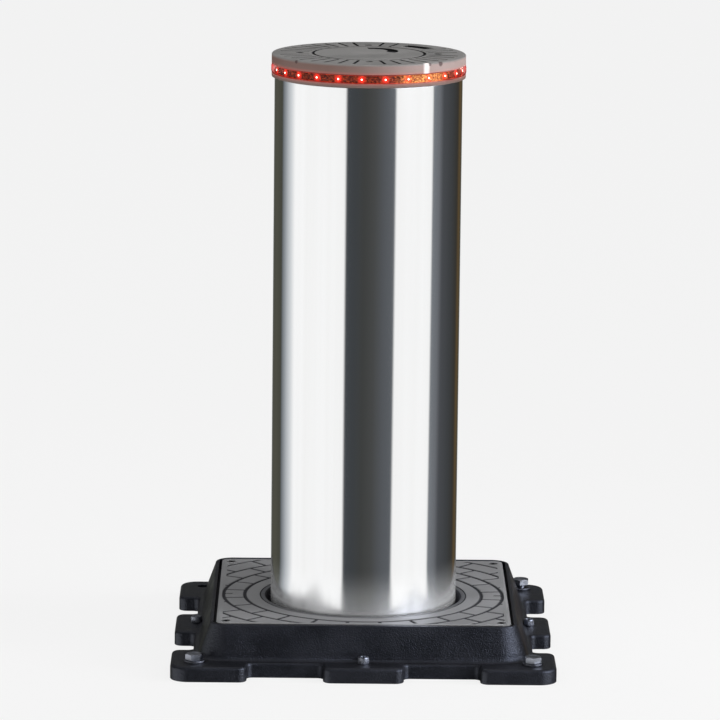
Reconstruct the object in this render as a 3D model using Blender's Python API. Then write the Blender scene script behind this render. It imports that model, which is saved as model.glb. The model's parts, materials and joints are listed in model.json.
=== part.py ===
# Automatic bollard: a stainless cylinder that rises out of a cast cover frame, with its in-ground
# casing, guides, hydraulic ram and power pack. It is shown raised. Metres, +Z up, the origin at the
# middle of the casing's underside, the front towards -Y. Heights below are counted from the ground,
# which is the underside of the frame's lugs, and an empty at ground level carries every piece.
import math

import bmesh
import bpy
from mathutils import Matrix, Vector

# Driving dimensions
STROKE = 0.800  # travel of the cylinder
HEAD_PROUD = 0.0046  # the head stands this far over the plate when lowered
GAP = 0.0003  # seat gap between neighbouring pieces
AXIS_FORWARD = 0.022  # the cylinder stands this far in front of the frame's middle
TUBE_RADIUS = 0.1365
TUBE_WALL = 0.0060
TUBE_TAIL = 0.2300  # length of tube that stays under the plate
RUNNING_GAP = 0.0004
TURN_STEPS = 48  # facets of the large round pieces
RING_STEPS = 24  # facets of large rings that nothing runs in
PEG_STEPS = 12  # facets of bolt holes and other small round shapes

HOLE_CLEARANCE = 0.0067  # round the tube, closed by the wiper seal
HOLE_RADIUS = TUBE_RADIUS + HOLE_CLEARANCE
COLLAR_WALL = 0.0083
COLLAR_RADIUS = HOLE_RADIUS + COLLAR_WALL
COLLAR_DEPTH = 0.0320
COLLAR_FLANGE_WIDTH = 0.0075
COLLAR_FLANGE = COLLAR_RADIUS + COLLAR_FLANGE_WIDTH
COLLAR_FLANGE_THICKNESS = 0.0060
SEAL_THICKNESS = 0.0032
SEAL_CLAMP_THICKNESS = 0.0030

PLATE_TOP = 0.072
PLATE_MARGIN = 0.0320  # plate left in front of the collar's flange
PLATE_HALF = COLLAR_FLANGE + AXIS_FORWARD + PLATE_MARGIN
PLATE_CORNER = 0.012
PLATE_THICKNESS = 0.012
PLATE_GAP = 0.004  # open joint between plate and frame
PLATE_SCREW_SIDE = 0.0140  # from the plate's side and from its front and rear edges
PLATE_SCREW_END = 0.0180
PLATE_SCREW_X = PLATE_HALF - PLATE_SCREW_SIDE
PLATE_SCREW_Y = PLATE_HALF - PLATE_SCREW_END
PLATE_SCREW_HEAD = 0.0060
PLATE_SCREW_SHANK = 0.0030
SLOT_LENGTH = 0.012
SLOT_WIDTH = 0.0045
SLOT_DEPTH = 0.006

GROOVE_WIDTH = 0.0022
GROOVE_DEPTH = 0.0015
GROOVE_MARGIN = 0.0085  # grooves end this far inside the plate's border
SETT_COUNT = 24  # radial grooves of one full ring of setts
SETT_RINGS = (0.0232, 0.0313, 0.0339, 0.0355)  # widths of the rings of setts, from the collar out
RING_GROOVES = [COLLAR_RADIUS + sum(SETT_RINGS[: i + 1]) for i in range(len(SETT_RINGS))]

FRAME_RIM_WIDTH = 0.0058
FRAME_RIM_ROUND = 0.0020
FRAME_CORNER = 0.040
SKIRT_SLOPE = 0.0132  # the skirt's foot stands out of its rim by this much
SKIRT_BASE_HALF = PLATE_HALF + PLATE_GAP + FRAME_RIM_WIDTH + SKIRT_SLOPE
SKIRT_BASE_HEIGHT = 0.034
COVE_WIDTH = 0.0080
LEDGE_WIDTH = 0.0260
LEDGE_HALF = PLATE_HALF - LEDGE_WIDTH
LEDGE_THICKNESS = 0.009
SKIRT_WALL = 0.0220  # at the skirt's foot
SKIRT_INSIDE_HALF = SKIRT_BASE_HALF - SKIRT_WALL
FOOT_SHELF = 0.0110  # flange between the lugs
FOOT_HALF = SKIRT_BASE_HALF + FOOT_SHELF
FOOT_ROUND = 0.0050
LUG_REACH = 0.0305  # lugs stand out of the foot by this much
LUG_HEIGHT = 0.0220
LUG_CORNER = 0.026
MIDDLE_LUG_HALF = 0.0455
CORNER_LUG_LENGTH = 0.0670
CORNER_LUG_START = FOOT_HALF - CORNER_LUG_LENGTH
LUG_ROUND = 0.0125
LUG_HOLLOW = 0.0090
BOLT_INSET = 0.0040
BOLT_SPOT = FOOT_HALF - BOLT_INSET  # corner bolts, from the frame's middle
BOLT_RADIUS = 0.0080
BOLT_FLATS = 0.0240
BOLT_TURNS = {"front_left": 12.0, "front_right": 40.0, "back_right": 25.0}  # degrees
BOLT_HEAD = 0.0100
BOLT_CHAMFER = 0.0015
BOLT_CROWN = 0.0004  # the flat on top of the head is this much inside its flats
BOLT_END = 0.0012  # chamfer of the shank's end
BOLT_LENGTH = 0.0480
BOLT_HOLE = 0.0088
WASHER_RADIUS = 0.0150
WASHER_THICKNESS = 0.0030
LOOSE_BOLT_RISE = 0.0040  # the back right bolt isn't screwed home
CAP_INSET = 0.0005
CAP_SPOT = FOOT_HALF - CAP_INSET  # middle lug screws
CAP_RADIUS = 0.0080
CAP_HEIGHT = 0.0100
CAP_SHANK = 0.0050
CAP_HOLE = 0.0055
CAP_KEY = 0.0040
SPOT_FACE_EDGE = 0.0012
SPOT_FACE_DEPTH = 0.0160

HEAD_LIP = 0.0044  # the head stands out of the tube by this much
HEAD_RADIUS = TUBE_RADIUS + HEAD_LIP
HEAD_DISC = 0.0146
HEAD_EDGE = 0.0018
HEAD_SKIN = 0.0080  # thickness of the disc inside its rim
LIGHT_BAND = 0.0128
LIP_HEIGHT = 0.0058
SPIGOT_DEPTH = 0.0140
LENS_PROUD = 0.0006
LENS_RADIUS = HEAD_RADIUS + LENS_PROUD
LENS_WALL = 0.0035
BOARD_SPACE = 0.0032  # between the lens and the hub, for the board and its lights
BOARD_WALL = 0.0010
HUB_WALL = 0.0100
LIGHT_COUNT = 25
LIGHT_PHASE = -94.6  # degrees, the light beside the front
LIGHT_RADIUS = 0.0019
LIGHT_HEIGHT = 0.0018
GASKET_THICKNESS = 0.0010
HEAD_BORDER = 0.0599  # width of the band of strokes outside the head's circle
HEAD_CIRCLE = HEAD_RADIUS - HEAD_BORDER
HEAD_STROKES = 36
HEAD_STROKE_WIDTH = 0.0018
HEAD_STROKE_START = HEAD_CIRCLE + 0.0055
HEAD_STROKE_END = HEAD_RADIUS - 0.0099
HEAD_SCREW_INSET = 0.0409
HEAD_SCREW_CIRCLE = HEAD_RADIUS - HEAD_SCREW_INSET
HEAD_SCREW_RADIUS = 0.0050
HEAD_SCREW_SEAT = 0.0050
ARC_RECESS_INSET = 0.0329
ARC_RECESS_RADIUS = HEAD_RADIUS - ARC_RECESS_INSET
ARC_RECESS_WIDTH = 0.0100
ARC_RECESS_DEPTH = 0.0030
ARC_RECESS_FROM = 35.0
ARC_RECESS_TO = 60.0
LIFT_RECESS_RADIUS = 0.0310
LIFT_RECESS_SHIFT = 0.0300
LIFT_RECESS_SIDE = 0.0040
LIFT_RECESS_WIDTH = 0.0035
LIFT_RECESS_FROM = 100.0
LIFT_RECESS_TURN = -130.0
HEAD_POST_RADIUS = 0.0090

BRIDGE_THICKNESS = 0.0120
BRIDGE_DROP = 0.0400  # the bridge's top under the tube's top
BRIDGE_RIM = 0.0225  # left between the windows and the tube
BRIDGE_HUB = 0.0480  # radius left round the rod's nut
BRIDGE_WINDOW = (TUBE_RADIUS - TUBE_WALL - BRIDGE_RIM - BRIDGE_HUB) / 2
BRIDGE_WINDOW_CIRCLE = BRIDGE_HUB + BRIDGE_WINDOW
ROD_RADIUS = 0.0180
ROD_THREAD = 0.0120
ROD_NUT_FLATS = 0.0360
ROD_NUT_HEIGHT = 0.0180
PISTON_RADIUS = 0.0260
PISTON_LENGTH = 0.0300
BARREL_WALL = 0.0080
BARREL_CAP = 0.0200
BARREL_STEPS = 24
GLAND_DEPTH = 0.0400
GLAND_COLLAR = 0.0120
BARREL_DROP = 0.1200  # the barrel's top under the plate's top
END_PLAY = 0.0050
EYE_RADIUS = 0.0200
EYE_WIDTH = 0.0260
PIN_RADIUS = 0.0100
PIN_HEIGHT = 0.0420  # pin over the casing's floor
CLEVIS_EAR = 0.0100
CLEVIS_SPAN = 0.1100
CLEVIS_PLATE = 0.0100
CLEVIS_BOLT = 0.0050

CASING_INSET = 0.0080  # the casing stands this far inside the plate's edge
CASING_HALF = PLATE_HALF - CASING_INSET
CASING_WALL = 0.0040
FLANGE_EDGE = 0.0210  # flange outside the corner bolts
FLANGE_HALF = BOLT_SPOT + FLANGE_EDGE
FLANGE_THICKNESS = 0.0080
BASE_THICKNESS = 0.0100
WELD_NUT = 0.0130
STRAP_REACH = 0.0450
STRAP_WIDTH = 0.0300
STRAP_THICKNESS = 0.0050
STRAP_LEVELS = (0.35, 0.75)  # shares of the casing's depth
DRAIN_RADIUS = 0.0250
DRAIN_WALL = 0.0030
DRAIN_LENGTH = 0.0450
DRAIN_LIFT = 0.0040  # from the floor up to the drain's wall
CONDUIT_RADIUS = 0.0250
CONDUIT_WALL = 0.0030
CONDUIT_LENGTH = 0.0450
CONDUIT_DROP = 0.1300

GUIDE_PLATE_TOP = -0.0400
GUIDE_PLATE_THICKNESS = 0.0100
BUSH_WALL = 0.0130
BUSH_LENGTH = 0.0500
BUSH_FLANGE = 0.0110
BUSH_FLANGE_THICKNESS = 0.0050
GUIDE_BOLT = 0.0050
CABLE_WAY_RADIUS = 0.0150
CABLE_WAY_INSET = 0.0400
BRACKET_LENGTH = 0.0900
BRACKET_LEG = 0.0300
BRACKET_THICKNESS = 0.0050
BRACKET_INSET = 0.0650
BRACKET_X = CASING_HALF - BRACKET_INSET
FOOT_RING_HEIGHT = 0.0120
FOOT_RING_WALL = 0.0180
EAR_REACH = 0.0320
EAR_WIDTH = 0.0440
RAIL_FLANGE_WIDTH = 0.0400
RAIL_FLANGE = 0.0050
RAIL_WEB = 0.0080
RAIL_REACH = 0.0320
SHOE_HEIGHT = 0.0600
SHOE_WIDTH = 0.0400
SHOE_GAP = 0.0005
SHOE_OVERLAP = 0.0180  # how far the shoe's slot takes the rail's web
STOP_HEIGHT = 0.0480
STOP_PLAY = 0.0010
STOP_INSET = 0.0020
STOP_NOTCH = 0.0320  # gap under the stop that the pressure pipe passes

PACK_STEPS = 14
PACK_RADIUS = 0.0530
PACK_CLEARANCE = 0.0060
PACK_SPOT = CASING_HALF - CASING_WALL - PACK_CLEARANCE - PACK_RADIUS  # from the casing's middle, in x and y
PACK_TOP = -0.1900
MOTOR_LENGTH = 0.2000
MOTOR_FINS = 4
MOTOR_FIN = 0.0040
BLOCK_HALF = 0.0440
BLOCK_HEIGHT = 0.0450
TANK_LENGTH = 0.3000
TANK_ROUND = 0.0150
TANK_INSET = 0.0040  # the tank is slimmer than the motor by this much
PACK_SHELF = 0.0050
PACK_SHELF_HOLE = 0.0400
PIPE_RADIUS = 0.0040
PIPE_BEND = 0.0150
PIPE_PORT_INSET = 0.0080  # from the pump block's side to its port
PIPE_LANE_X = PACK_SPOT + BLOCK_HALF - PIPE_PORT_INSET
PIPE_CLEARANCE = 0.0130  # between the pipe's middle and the power pack
PIPE_LANE_Y = PACK_SPOT - PACK_RADIUS - PIPE_CLEARANCE
PIPE_FLOOR = 0.0180
BOX_HALF = 0.0450
BOX_DEPTH = 0.0500
BOX_TOP = -0.1900
BOX_HEIGHT = 0.1200
BOX_CLEARANCE = 0.0360
BOX_X = CASING_HALF - CASING_WALL - BOX_CLEARANCE - BOX_HALF
CONDUIT_SHIFT = 0.0200  # the conduit comes in beside the middle of the box
CONDUIT_X = BOX_X - CONDUIT_SHIFT
STRIP_WIDTH = 0.0300
STRIP_THICKNESS = 0.0030
STRIP_STANDOFF = 0.0180
SWITCH_HEIGHT = 0.0300
SWITCH_DEPTH = 0.0140
SWITCH_WIDTH = 0.0200
MAGNET_RADIUS = 0.0060
MAGNET_HEIGHT = 0.0100

CORNER_NAMES = ("front_right", "back_right", "back_left", "front_left")
SIDE_NAMES = ("front", "right", "back", "left")

# Heights over the ground that follow from them
head_top = PLATE_TOP + STROKE + HEAD_PROUD
light_top = head_top - HEAD_DISC
light_bottom = light_top - LIGHT_BAND
lip_bottom = light_bottom - LIP_HEIGHT
tube_top = lip_bottom - GAP
tube_bottom = PLATE_TOP - TUBE_TAIL
foot_bottom = tube_bottom - GAP - FOOT_RING_HEIGHT
tube_inside = TUBE_RADIUS - TUBE_WALL
bridge_top = tube_top - BRIDGE_DROP
bridge_bottom = bridge_top - BRIDGE_THICKNESS
barrel_top = PLATE_TOP - BARREL_DROP
barrel_inside = PISTON_RADIUS + GAP
barrel_radius = barrel_inside + BARREL_WALL
piston_top = barrel_top - GLAND_DEPTH - END_PLAY
barrel_floor = piston_top - PISTON_LENGTH - STROKE - END_PLAY
barrel_bottom = barrel_floor - BARREL_CAP
floor_top = min(barrel_bottom - EYE_RADIUS - PIN_HEIGHT, foot_bottom - STROKE - STOP_HEIGHT - STOP_PLAY)
pin_level = floor_top + PIN_HEIGHT
casing_bottom = floor_top - BASE_THICKNESS
casing_inside = CASING_HALF - CASING_WALL
plate_bottom = PLATE_TOP - PLATE_THICKNESS
ledge_top = plate_bottom - GAP
rim_inside = PLATE_HALF + PLATE_GAP
rim_half = rim_inside + FRAME_RIM_WIDTH
collar_bottom = PLATE_TOP - COLLAR_DEPTH
seal_top = collar_bottom - GAP
seal_bottom = seal_top - SEAL_THICKNESS
guide_plate_bottom = GUIDE_PLATE_TOP - GUIDE_PLATE_THICKNESS
bush_inside = TUBE_RADIUS + RUNNING_GAP
bush_radius = bush_inside + BUSH_WALL
ground_level = -casing_bottom


def clear_scene():
    for thing in list(bpy.data.objects):
        bpy.data.objects.remove(thing)


def material(name, colour, roughness, metallic=0.0, alpha=1.0):
    finish = bpy.data.materials.new(name)
    finish.use_nodes = True
    shader = finish.node_tree.nodes["Principled BSDF"]
    shader.inputs["Base Color"].default_value = (*colour, 1.0)
    shader.inputs["Roughness"].default_value = roughness
    shader.inputs["Metallic"].default_value = metallic
    shader.inputs["Alpha"].default_value = alpha
    finish.diffuse_color = (*colour, alpha)
    return finish


def empty(name, place, parent=None):
    carrier = bpy.data.objects.new(name, None)
    carrier.location = place
    carrier.parent = parent
    bpy.context.scene.collection.objects.link(carrier)
    return carrier


def finish_object(name, shape, finish, parent, smooth=True):
    # Turns a bmesh into an object under its carrier.
    bmesh.ops.recalc_face_normals(shape, faces=shape.faces)
    mesh = bpy.data.meshes.new(name)
    shape.to_mesh(mesh)
    shape.free()
    if smooth:
        mesh.shade_smooth()
        mesh.set_sharp_from_angle(angle=math.radians(35))
    piece = bpy.data.objects.new(name, mesh)
    if finish:
        piece.data.materials.append(finish)
    piece.parent = parent
    bpy.context.scene.collection.objects.link(piece)
    return piece


def boolean(piece, other, operation="DIFFERENCE"):
    other.hide_render = True
    other.display_type = "WIRE"
    step = piece.modifiers.new(other.name, "BOOLEAN")
    step.operation = operation
    step.solver = "EXACT"
    step.object = other
    return step


# Shape builders: each adds one closed solid to a bmesh
def add_loft(shape, loops, ring=False):
    # Bridges equal loops of points. A ring joins the last loop to the first, otherwise the ends are capped.
    rows = [[shape.verts.new(point) for point in loop] for loop in loops]
    count = len(rows[0])
    pairs = list(zip(rows, rows[1:]))
    if ring:
        pairs.append((rows[-1], rows[0]))
    for low, high in pairs:
        for i in range(count):
            j = (i + 1) % count
            shape.faces.new((low[i], low[j], high[j], high[i]))
    if not ring:
        shape.faces.new(rows[0])
        shape.faces.new(rows[-1])


def add_turned(shape, profile, steps, centre=(0.0, 0.0, 0.0), turn=None):
    # Turns a closed profile of (radius, height) about Z. A flat end that reaches the axis is one face.
    place = Matrix.Translation(centre) @ (turn or Matrix.Identity(4))
    rows = []
    for i, (radius, height) in enumerate(profile):
        if radius > 1e-6:
            angles = [math.tau * n / steps for n in range(steps)]
            points = [(radius * math.cos(a), radius * math.sin(a), height) for a in angles]
            rows.append([shape.verts.new(place @ Vector(point)) for point in points])
            continue
        neighbours = (profile[i - 1], profile[(i + 1) % len(profile)])
        flat = any(r > 1e-6 and abs(h - height) < 1e-7 for r, h in neighbours)
        rows.append([] if flat else [shape.verts.new(place @ Vector((0.0, 0.0, height)))])
    for one, other in zip(rows, rows[1:] + rows[:1]):
        if not one or not other:
            full = one or other
            if len(full) > 1:
                shape.faces.new(full)
            continue
        if len(one) == 1 and len(other) == 1:
            continue
        for i in range(steps):
            j = (i + 1) % steps
            corners = [one[i % len(one)], one[j % len(one)], other[j % len(other)], other[i % len(other)]]
            shape.faces.new([c for n, c in enumerate(corners) if c not in corners[:n]])


def add_box(shape, low, high):
    middle = [(a + b) / 2 for a, b in zip(low, high)]
    sizes = [b - a for a, b in zip(low, high)]
    place = Matrix.Translation(middle) @ Matrix.Diagonal((*sizes, 1.0))
    bmesh.ops.create_cube(shape, size=1.0, matrix=place)


def add_screw(shape, sections, centre=(0.0, 0.0, 0.0), turn=0.0, steps=12):
    # Lofts sections of (radius, height, flats). A section with flats is a hexagon with that corner radius.
    loops = []
    for radius, height, flats in sections:
        loop = []
        for i in range(steps):
            angle = math.tau * i / steps
            length = radius
            if flats:
                length *= math.cos(math.pi / 6) / math.cos(angle % (math.pi / 3) - math.pi / 6)
            x = centre[0] + length * math.cos(angle + turn)
            y = centre[1] + length * math.sin(angle + turn)
            loop.append((x, y, centre[2] + height))
        loops.append(loop)
    add_loft(shape, loops)


def screw(name, sections, spot, finish, parent, steps=12, turn=0.0):
    shape = bmesh.new()
    add_screw(shape, sections, (0, 0, 0), turn, steps)
    piece = finish_object(name, shape, finish, parent)
    piece.location = (*spot, 0.0)
    return piece


def hex_bolt(shank, flats, low, seat, top):
    # Sections of a hex bolt with a chamfered head.
    corner = flats / 2 / math.cos(math.pi / 6)
    sections = [(shank - BOLT_END, low, False), (shank, low + BOLT_END, False), (shank, seat, False)]
    sections += [(corner, seat, True), (corner, top - BOLT_CHAMFER, True)]
    return sections + [(flats / 2 - BOLT_CROWN, top, False)]


def socket(key, top, depth):
    # Sections of the hexagon socket in a screw's head.
    return [(key, top, True), (key, top - depth, True)]


def disc_profile(radius, low, high):
    return [(0, low), (radius, low), (radius, high), (0, high)]


def ring_profile(inner, outer, low, high):
    return [(inner, low), (outer, low), (outer, high), (inner, high)]


def turned(name, profile, finish, parent, steps=TURN_STEPS, **place):
    shape = bmesh.new()
    add_turned(shape, profile, steps, **place)
    return finish_object(name, shape, finish, parent)


def boxes(name, pairs, finish, parent):
    shape = bmesh.new()
    for low, high in pairs:
        add_box(shape, low, high)
    return finish_object(name, shape, finish, parent)


def pegs(name, spots, radius, low, high, parent, steps=PEG_STEPS):
    # Round cutters or shanks standing at the given spots.
    shape = bmesh.new()
    for x, y in spots:
        add_turned(shape, disc_profile(radius, low, high), steps, (x, y, 0))
    return finish_object(name, shape, None, parent)


def rounded_square(half, corner, height, steps=4):
    # A square loop with round corners, counter-clockwise from the right side.
    loop = []
    for quarter in range(4):
        turn = math.pi / 2 * quarter
        across, along = math.cos(turn + math.pi / 4), math.sin(turn + math.pi / 4)
        reach = (half - corner) * math.sqrt(2)
        for i in range(steps + 1):
            angle = turn + math.pi / 2 * i / steps
            x = across * reach + corner * math.cos(angle)
            y = along * reach + corner * math.sin(angle)
            loop.append((x, y, height))
    return loop


def four_ways(x, y):
    return [(x, -y), (x, y), (-x, y), (-x, -y)]


# The frame
def lug_end():
    # One end of a lug as (reach, distance past its flat): a round corner, a straight and a hollow corner.
    outer = FOOT_HALF + LUG_REACH
    points = []
    for i in range(4):
        angle = math.pi / 2 * i / 3
        points.append((outer - LUG_ROUND * (1 - math.cos(angle)), LUG_ROUND * math.sin(angle)))
    for i in range(3):
        angle = math.pi / 2 * i / 2
        along = LUG_ROUND + LUG_HOLLOW * (1 - math.cos(angle))
        points.append((FOOT_HALF + LUG_HOLLOW * (1 - math.sin(angle)), along))
    return points


def lug_outline():
    # The foot's outline from above: each side steps out to its middle lug and to the corner lugs.
    end = lug_end()
    half_side = [(reach, MIDDLE_LUG_HALF + along) for reach, along in end]
    half_side += [(reach, CORNER_LUG_START - along) for reach, along in reversed(end)]
    side = [(reach, -along) for reach, along in reversed(half_side)] + half_side
    middle = FOOT_HALF + LUG_REACH - LUG_CORNER
    for i in range(4):
        angle = math.pi / 2 * i / 4
        side.append((middle + LUG_CORNER * math.cos(angle), middle + LUG_CORNER * math.sin(angle)))
    side.append((middle, middle + LUG_CORNER))
    side.insert(0, (middle + LUG_CORNER, -middle))
    turns = [Matrix.Rotation(math.pi / 2 * quarter, 2) for quarter in range(4)]
    return [turn @ Vector(point) for turn in turns for point in side[:-1]]


def inset_outline(points, distance):
    moved = []
    for i, point in enumerate(points):
        along = points[(i + 1) % len(points)] - points[i - 1]
        inward = Vector((-along.y, along.x)).normalized()
        moved.append(point + inward * distance)
    return moved


def make_foot(frame):
    # The lugs and the flange between them, with a rounded top edge, open in the middle.
    outline = lug_outline()
    loops = [[(p.x, p.y, 0.0) for p in outline]]
    for i in range(3):
        angle = math.pi / 2 * i / 2
        inset = FOOT_ROUND * (1 - math.cos(angle))
        height = LUG_HEIGHT - FOOT_ROUND + FOOT_ROUND * math.sin(angle)
        loops.append([(p.x, p.y, height) for p in inset_outline(outline, inset)])
    shape = bmesh.new()
    add_loft(shape, loops)
    foot = finish_object("foot_form", shape, None, frame)
    half = (SKIRT_INSIDE_HALF + SKIRT_BASE_HALF) / 2
    opening = boxes("foot_opening", [((-half, -half, -GAP), (half, half, LUG_HEIGHT + GAP))], None, frame)
    boolean(foot, opening)
    return foot


def frame_skirt():
    # The wall from the rim down to the cove on the lugs, with the ledge that carries the plate inside.
    ledge_bottom = ledge_top - LEDGE_THICKNESS
    section = [(SKIRT_BASE_HALF + COVE_WIDTH, 0.0, FRAME_CORNER + COVE_WIDTH)]
    section.append((SKIRT_BASE_HALF + COVE_WIDTH, LUG_HEIGHT, FRAME_CORNER + COVE_WIDTH))
    for i in range(1, 3):
        angle = math.pi / 2 * i / 2
        half = SKIRT_BASE_HALF + COVE_WIDTH * (1 - math.sin(angle))
        height = LUG_HEIGHT + (SKIRT_BASE_HEIGHT - LUG_HEIGHT) * (1 - math.cos(angle))
        section.append((half, height, FRAME_CORNER + half - SKIRT_BASE_HALF))
    for i in range(3):
        angle = math.pi / 2 * i / 2
        half = rim_half - FRAME_RIM_ROUND * (1 - math.cos(angle))
        height = PLATE_TOP - FRAME_RIM_ROUND * (1 - math.sin(angle))
        section.append((half, height, FRAME_CORNER - SKIRT_BASE_HALF + half))
    pocket = PLATE_CORNER + PLATE_GAP
    section += [(rim_inside, PLATE_TOP, pocket), (rim_inside, ledge_top, pocket)]
    section += [(LEDGE_HALF, ledge_top, pocket), (LEDGE_HALF, ledge_bottom, pocket)]
    section.append((SKIRT_INSIDE_HALF - COVE_WIDTH, ledge_bottom - COVE_WIDTH, pocket))
    section.append((SKIRT_INSIDE_HALF, 0.0, pocket))
    shape = bmesh.new()
    add_loft(shape, [rounded_square(half, corner, height) for half, height, corner in section], ring=True)
    return shape


def make_frame(finishes, frame):
    piece = finish_object("frame_casting", frame_skirt(), finishes["casting"], frame)
    boolean(piece, make_foot(frame), "UNION")
    bolt_holes = pegs("bolt_holes", corner_spots(), BOLT_HOLE, -GAP, LUG_HEIGHT + GAP, frame)
    boolean(piece, bolt_holes)
    cap_holes = pegs("cap_holes", middle_spots(), CAP_HOLE, -GAP, LUG_HEIGHT + GAP, frame)
    boolean(piece, cap_holes)
    spot_top = LUG_HEIGHT + SPOT_FACE_DEPTH
    washer_room, cap_room = WASHER_RADIUS + SPOT_FACE_EDGE, CAP_RADIUS + SPOT_FACE_EDGE
    boolean(piece, pegs("washer_faces", corner_spots(), washer_room, LUG_HEIGHT, spot_top, frame, 16))
    boolean(piece, pegs("cap_faces", middle_spots(), cap_room, LUG_HEIGHT, spot_top, frame, 16))
    screw_spots = four_ways(PLATE_SCREW_X, PLATE_SCREW_Y)
    low, high = ledge_top - LEDGE_THICKNESS - GAP, ledge_top + GAP
    boolean(piece, pegs("ledge_holes", screw_spots, PLATE_SCREW_SHANK + GAP, low, high, frame, 12))
    return piece


def corner_spots():
    return four_ways(BOLT_SPOT, BOLT_SPOT)


def middle_spots():
    return [(0, -CAP_SPOT), (CAP_SPOT, 0), (0, CAP_SPOT), (-CAP_SPOT, 0)]


# The cover plate and its grooves
def inside_plate(x, y, margin):
    # Tests a point that is counted from the cylinder's axis.
    limit = PLATE_HALF - margin
    return abs(x) <= limit and abs(y - AXIS_FORWARD) <= limit


def arc_runs(radius, margin, steps):
    # The stretches of a circle that lie inside the plate, as lists of angles.
    flags = []
    for i in range(steps):
        angle = math.tau * i / steps
        flags.append(inside_plate(radius * math.cos(angle), radius * math.sin(angle), margin))
    if all(flags):
        return [None]
    first = flags.index(False)
    runs, run = [], []
    for i in range(first, first + steps + 1):
        if flags[i % steps]:
            run.append(math.tau * i / steps)
        elif run:
            runs.append(run)
            run = []
    return [run for run in runs if len(run) > 2]


def add_arc_bar(shape, radius, angles, width, low, high):
    # A curved bar along an arc.
    loops = []
    for angle in angles:
        section = []
        for r, h in ring_profile(radius - width / 2, radius + width / 2, low, high):
            section.append((r * math.cos(angle), r * math.sin(angle), h))
        loops.append(section)
    add_loft(shape, loops)


def add_radial_bar(shape, angle, inner, outer, width, low, high):
    turn = Matrix.Rotation(angle, 4, "Z")
    corners = [(inner, -width / 2), (outer, -width / 2), (outer, width / 2), (inner, width / 2)]
    loops = [[turn @ Vector((x, y, height)) for x, y in corners] for height in (low, high)]
    add_loft(shape, loops)


def ring_cutter(parent):
    low, high = PLATE_TOP - GROOVE_DEPTH, PLATE_TOP + GROOVE_DEPTH
    shape = bmesh.new()
    for radius in RING_GROOVES:
        margin = min(GROOVE_MARGIN, max(PLATE_HALF - radius - GROOVE_WIDTH, GROOVE_MARGIN / 2))
        for run in arc_runs(radius, margin, TURN_STEPS):
            if run is None:
                half = GROOVE_WIDTH / 2
                add_turned(shape, ring_profile(radius - half, radius + half, low, high), TURN_STEPS)
            else:
                add_arc_bar(shape, radius, run, GROOVE_WIDTH, low, high)
    return finish_object("ring_cutter", shape, None, parent)


def sett_cutter(parent):
    # Radial grooves between the rings, each ring half a pitch on from the one inside it.
    low, high = PLATE_TOP - GROOVE_DEPTH, PLATE_TOP + GROOVE_DEPTH
    pitch = math.tau / SETT_COUNT
    shape = bmesh.new()
    for band, (inner, outer) in enumerate(zip(RING_GROOVES, RING_GROOVES[1:])):
        for i in range(SETT_COUNT):
            angle = pitch * (i + (0.5 if band % 2 == 0 else 0.0))
            x, y = math.cos(angle), math.sin(angle)
            reach = outer
            while reach > inner and not inside_plate(reach * x, reach * y, GROOVE_MARGIN):
                reach -= GROOVE_WIDTH / 2
            if reach - inner > 4 * GROOVE_WIDTH:
                add_radial_bar(shape, angle, inner, reach, GROOVE_WIDTH, low, high)
    return finish_object("sett_cutter", shape, None, parent)


def make_plate(finishes, frame, lift):
    shape = bmesh.new()
    heights = (plate_bottom, PLATE_TOP)
    add_loft(shape, [rounded_square(PLATE_HALF, PLATE_CORNER, height) for height in heights])
    plate = finish_object("cover_plate", shape, finishes["plate"], frame)
    low, high = plate_bottom - GAP, PLATE_TOP + GAP
    boolean(plate, pegs("plate_bore", [(0, 0)], COLLAR_RADIUS + GAP, low, high, lift, TURN_STEPS))
    boolean(plate, ring_cutter(lift))
    boolean(plate, sett_cutter(lift))

    sinks = bmesh.new()
    for x, y in four_ways(PLATE_SCREW_X, PLATE_SCREW_Y):
        shank, cone_bottom, cone_top, head = sink_sections(GAP)
        sink = [(0, low), (shank, low), (shank, cone_bottom), (head, cone_top), (head, high), (0, high)]
        add_turned(sinks, sink, 16, (x, y, 0))
    boolean(plate, finish_object("plate_sinks", sinks, None, frame))

    slots = []
    for side in (-1, 1):
        x = side * PLATE_SCREW_X
        low = (x - SLOT_LENGTH / 2, -SLOT_WIDTH / 2, PLATE_TOP - SLOT_DEPTH)
        slots.append((low, (x + SLOT_LENGTH / 2, SLOT_WIDTH / 2, PLATE_TOP + GAP)))
    boolean(plate, boxes("lifting_slots", slots, None, lift))
    return plate


def sink_sections(clearance):
    # Shank radius, cone bottom, cone top and head radius of a countersunk screw, or with a clearance of its hole.
    cone_top = PLATE_TOP - 0.0010 - clearance
    cone_bottom = cone_top - (PLATE_SCREW_HEAD - PLATE_SCREW_SHANK)
    return PLATE_SCREW_SHANK + clearance, cone_bottom, cone_top, PLATE_SCREW_HEAD + clearance


def make_plate_screws(finishes, frame):
    shank, cone_bottom, cone_top, head = sink_sections(0.0)
    low, top = ledge_top - LEDGE_THICKNESS - GAP, PLATE_TOP - GAP
    sections = [(shank, low, False), (shank, cone_bottom, False), (head, cone_top, False), (head, top, False)]
    sections += socket(PLATE_SCREW_SHANK * 0.8, top, 0.0022)
    for name, spot in zip(CORNER_NAMES, four_ways(PLATE_SCREW_X, PLATE_SCREW_Y)):
        screw("plate_screw_" + name, sections, spot, finishes["bolt"], frame)


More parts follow.
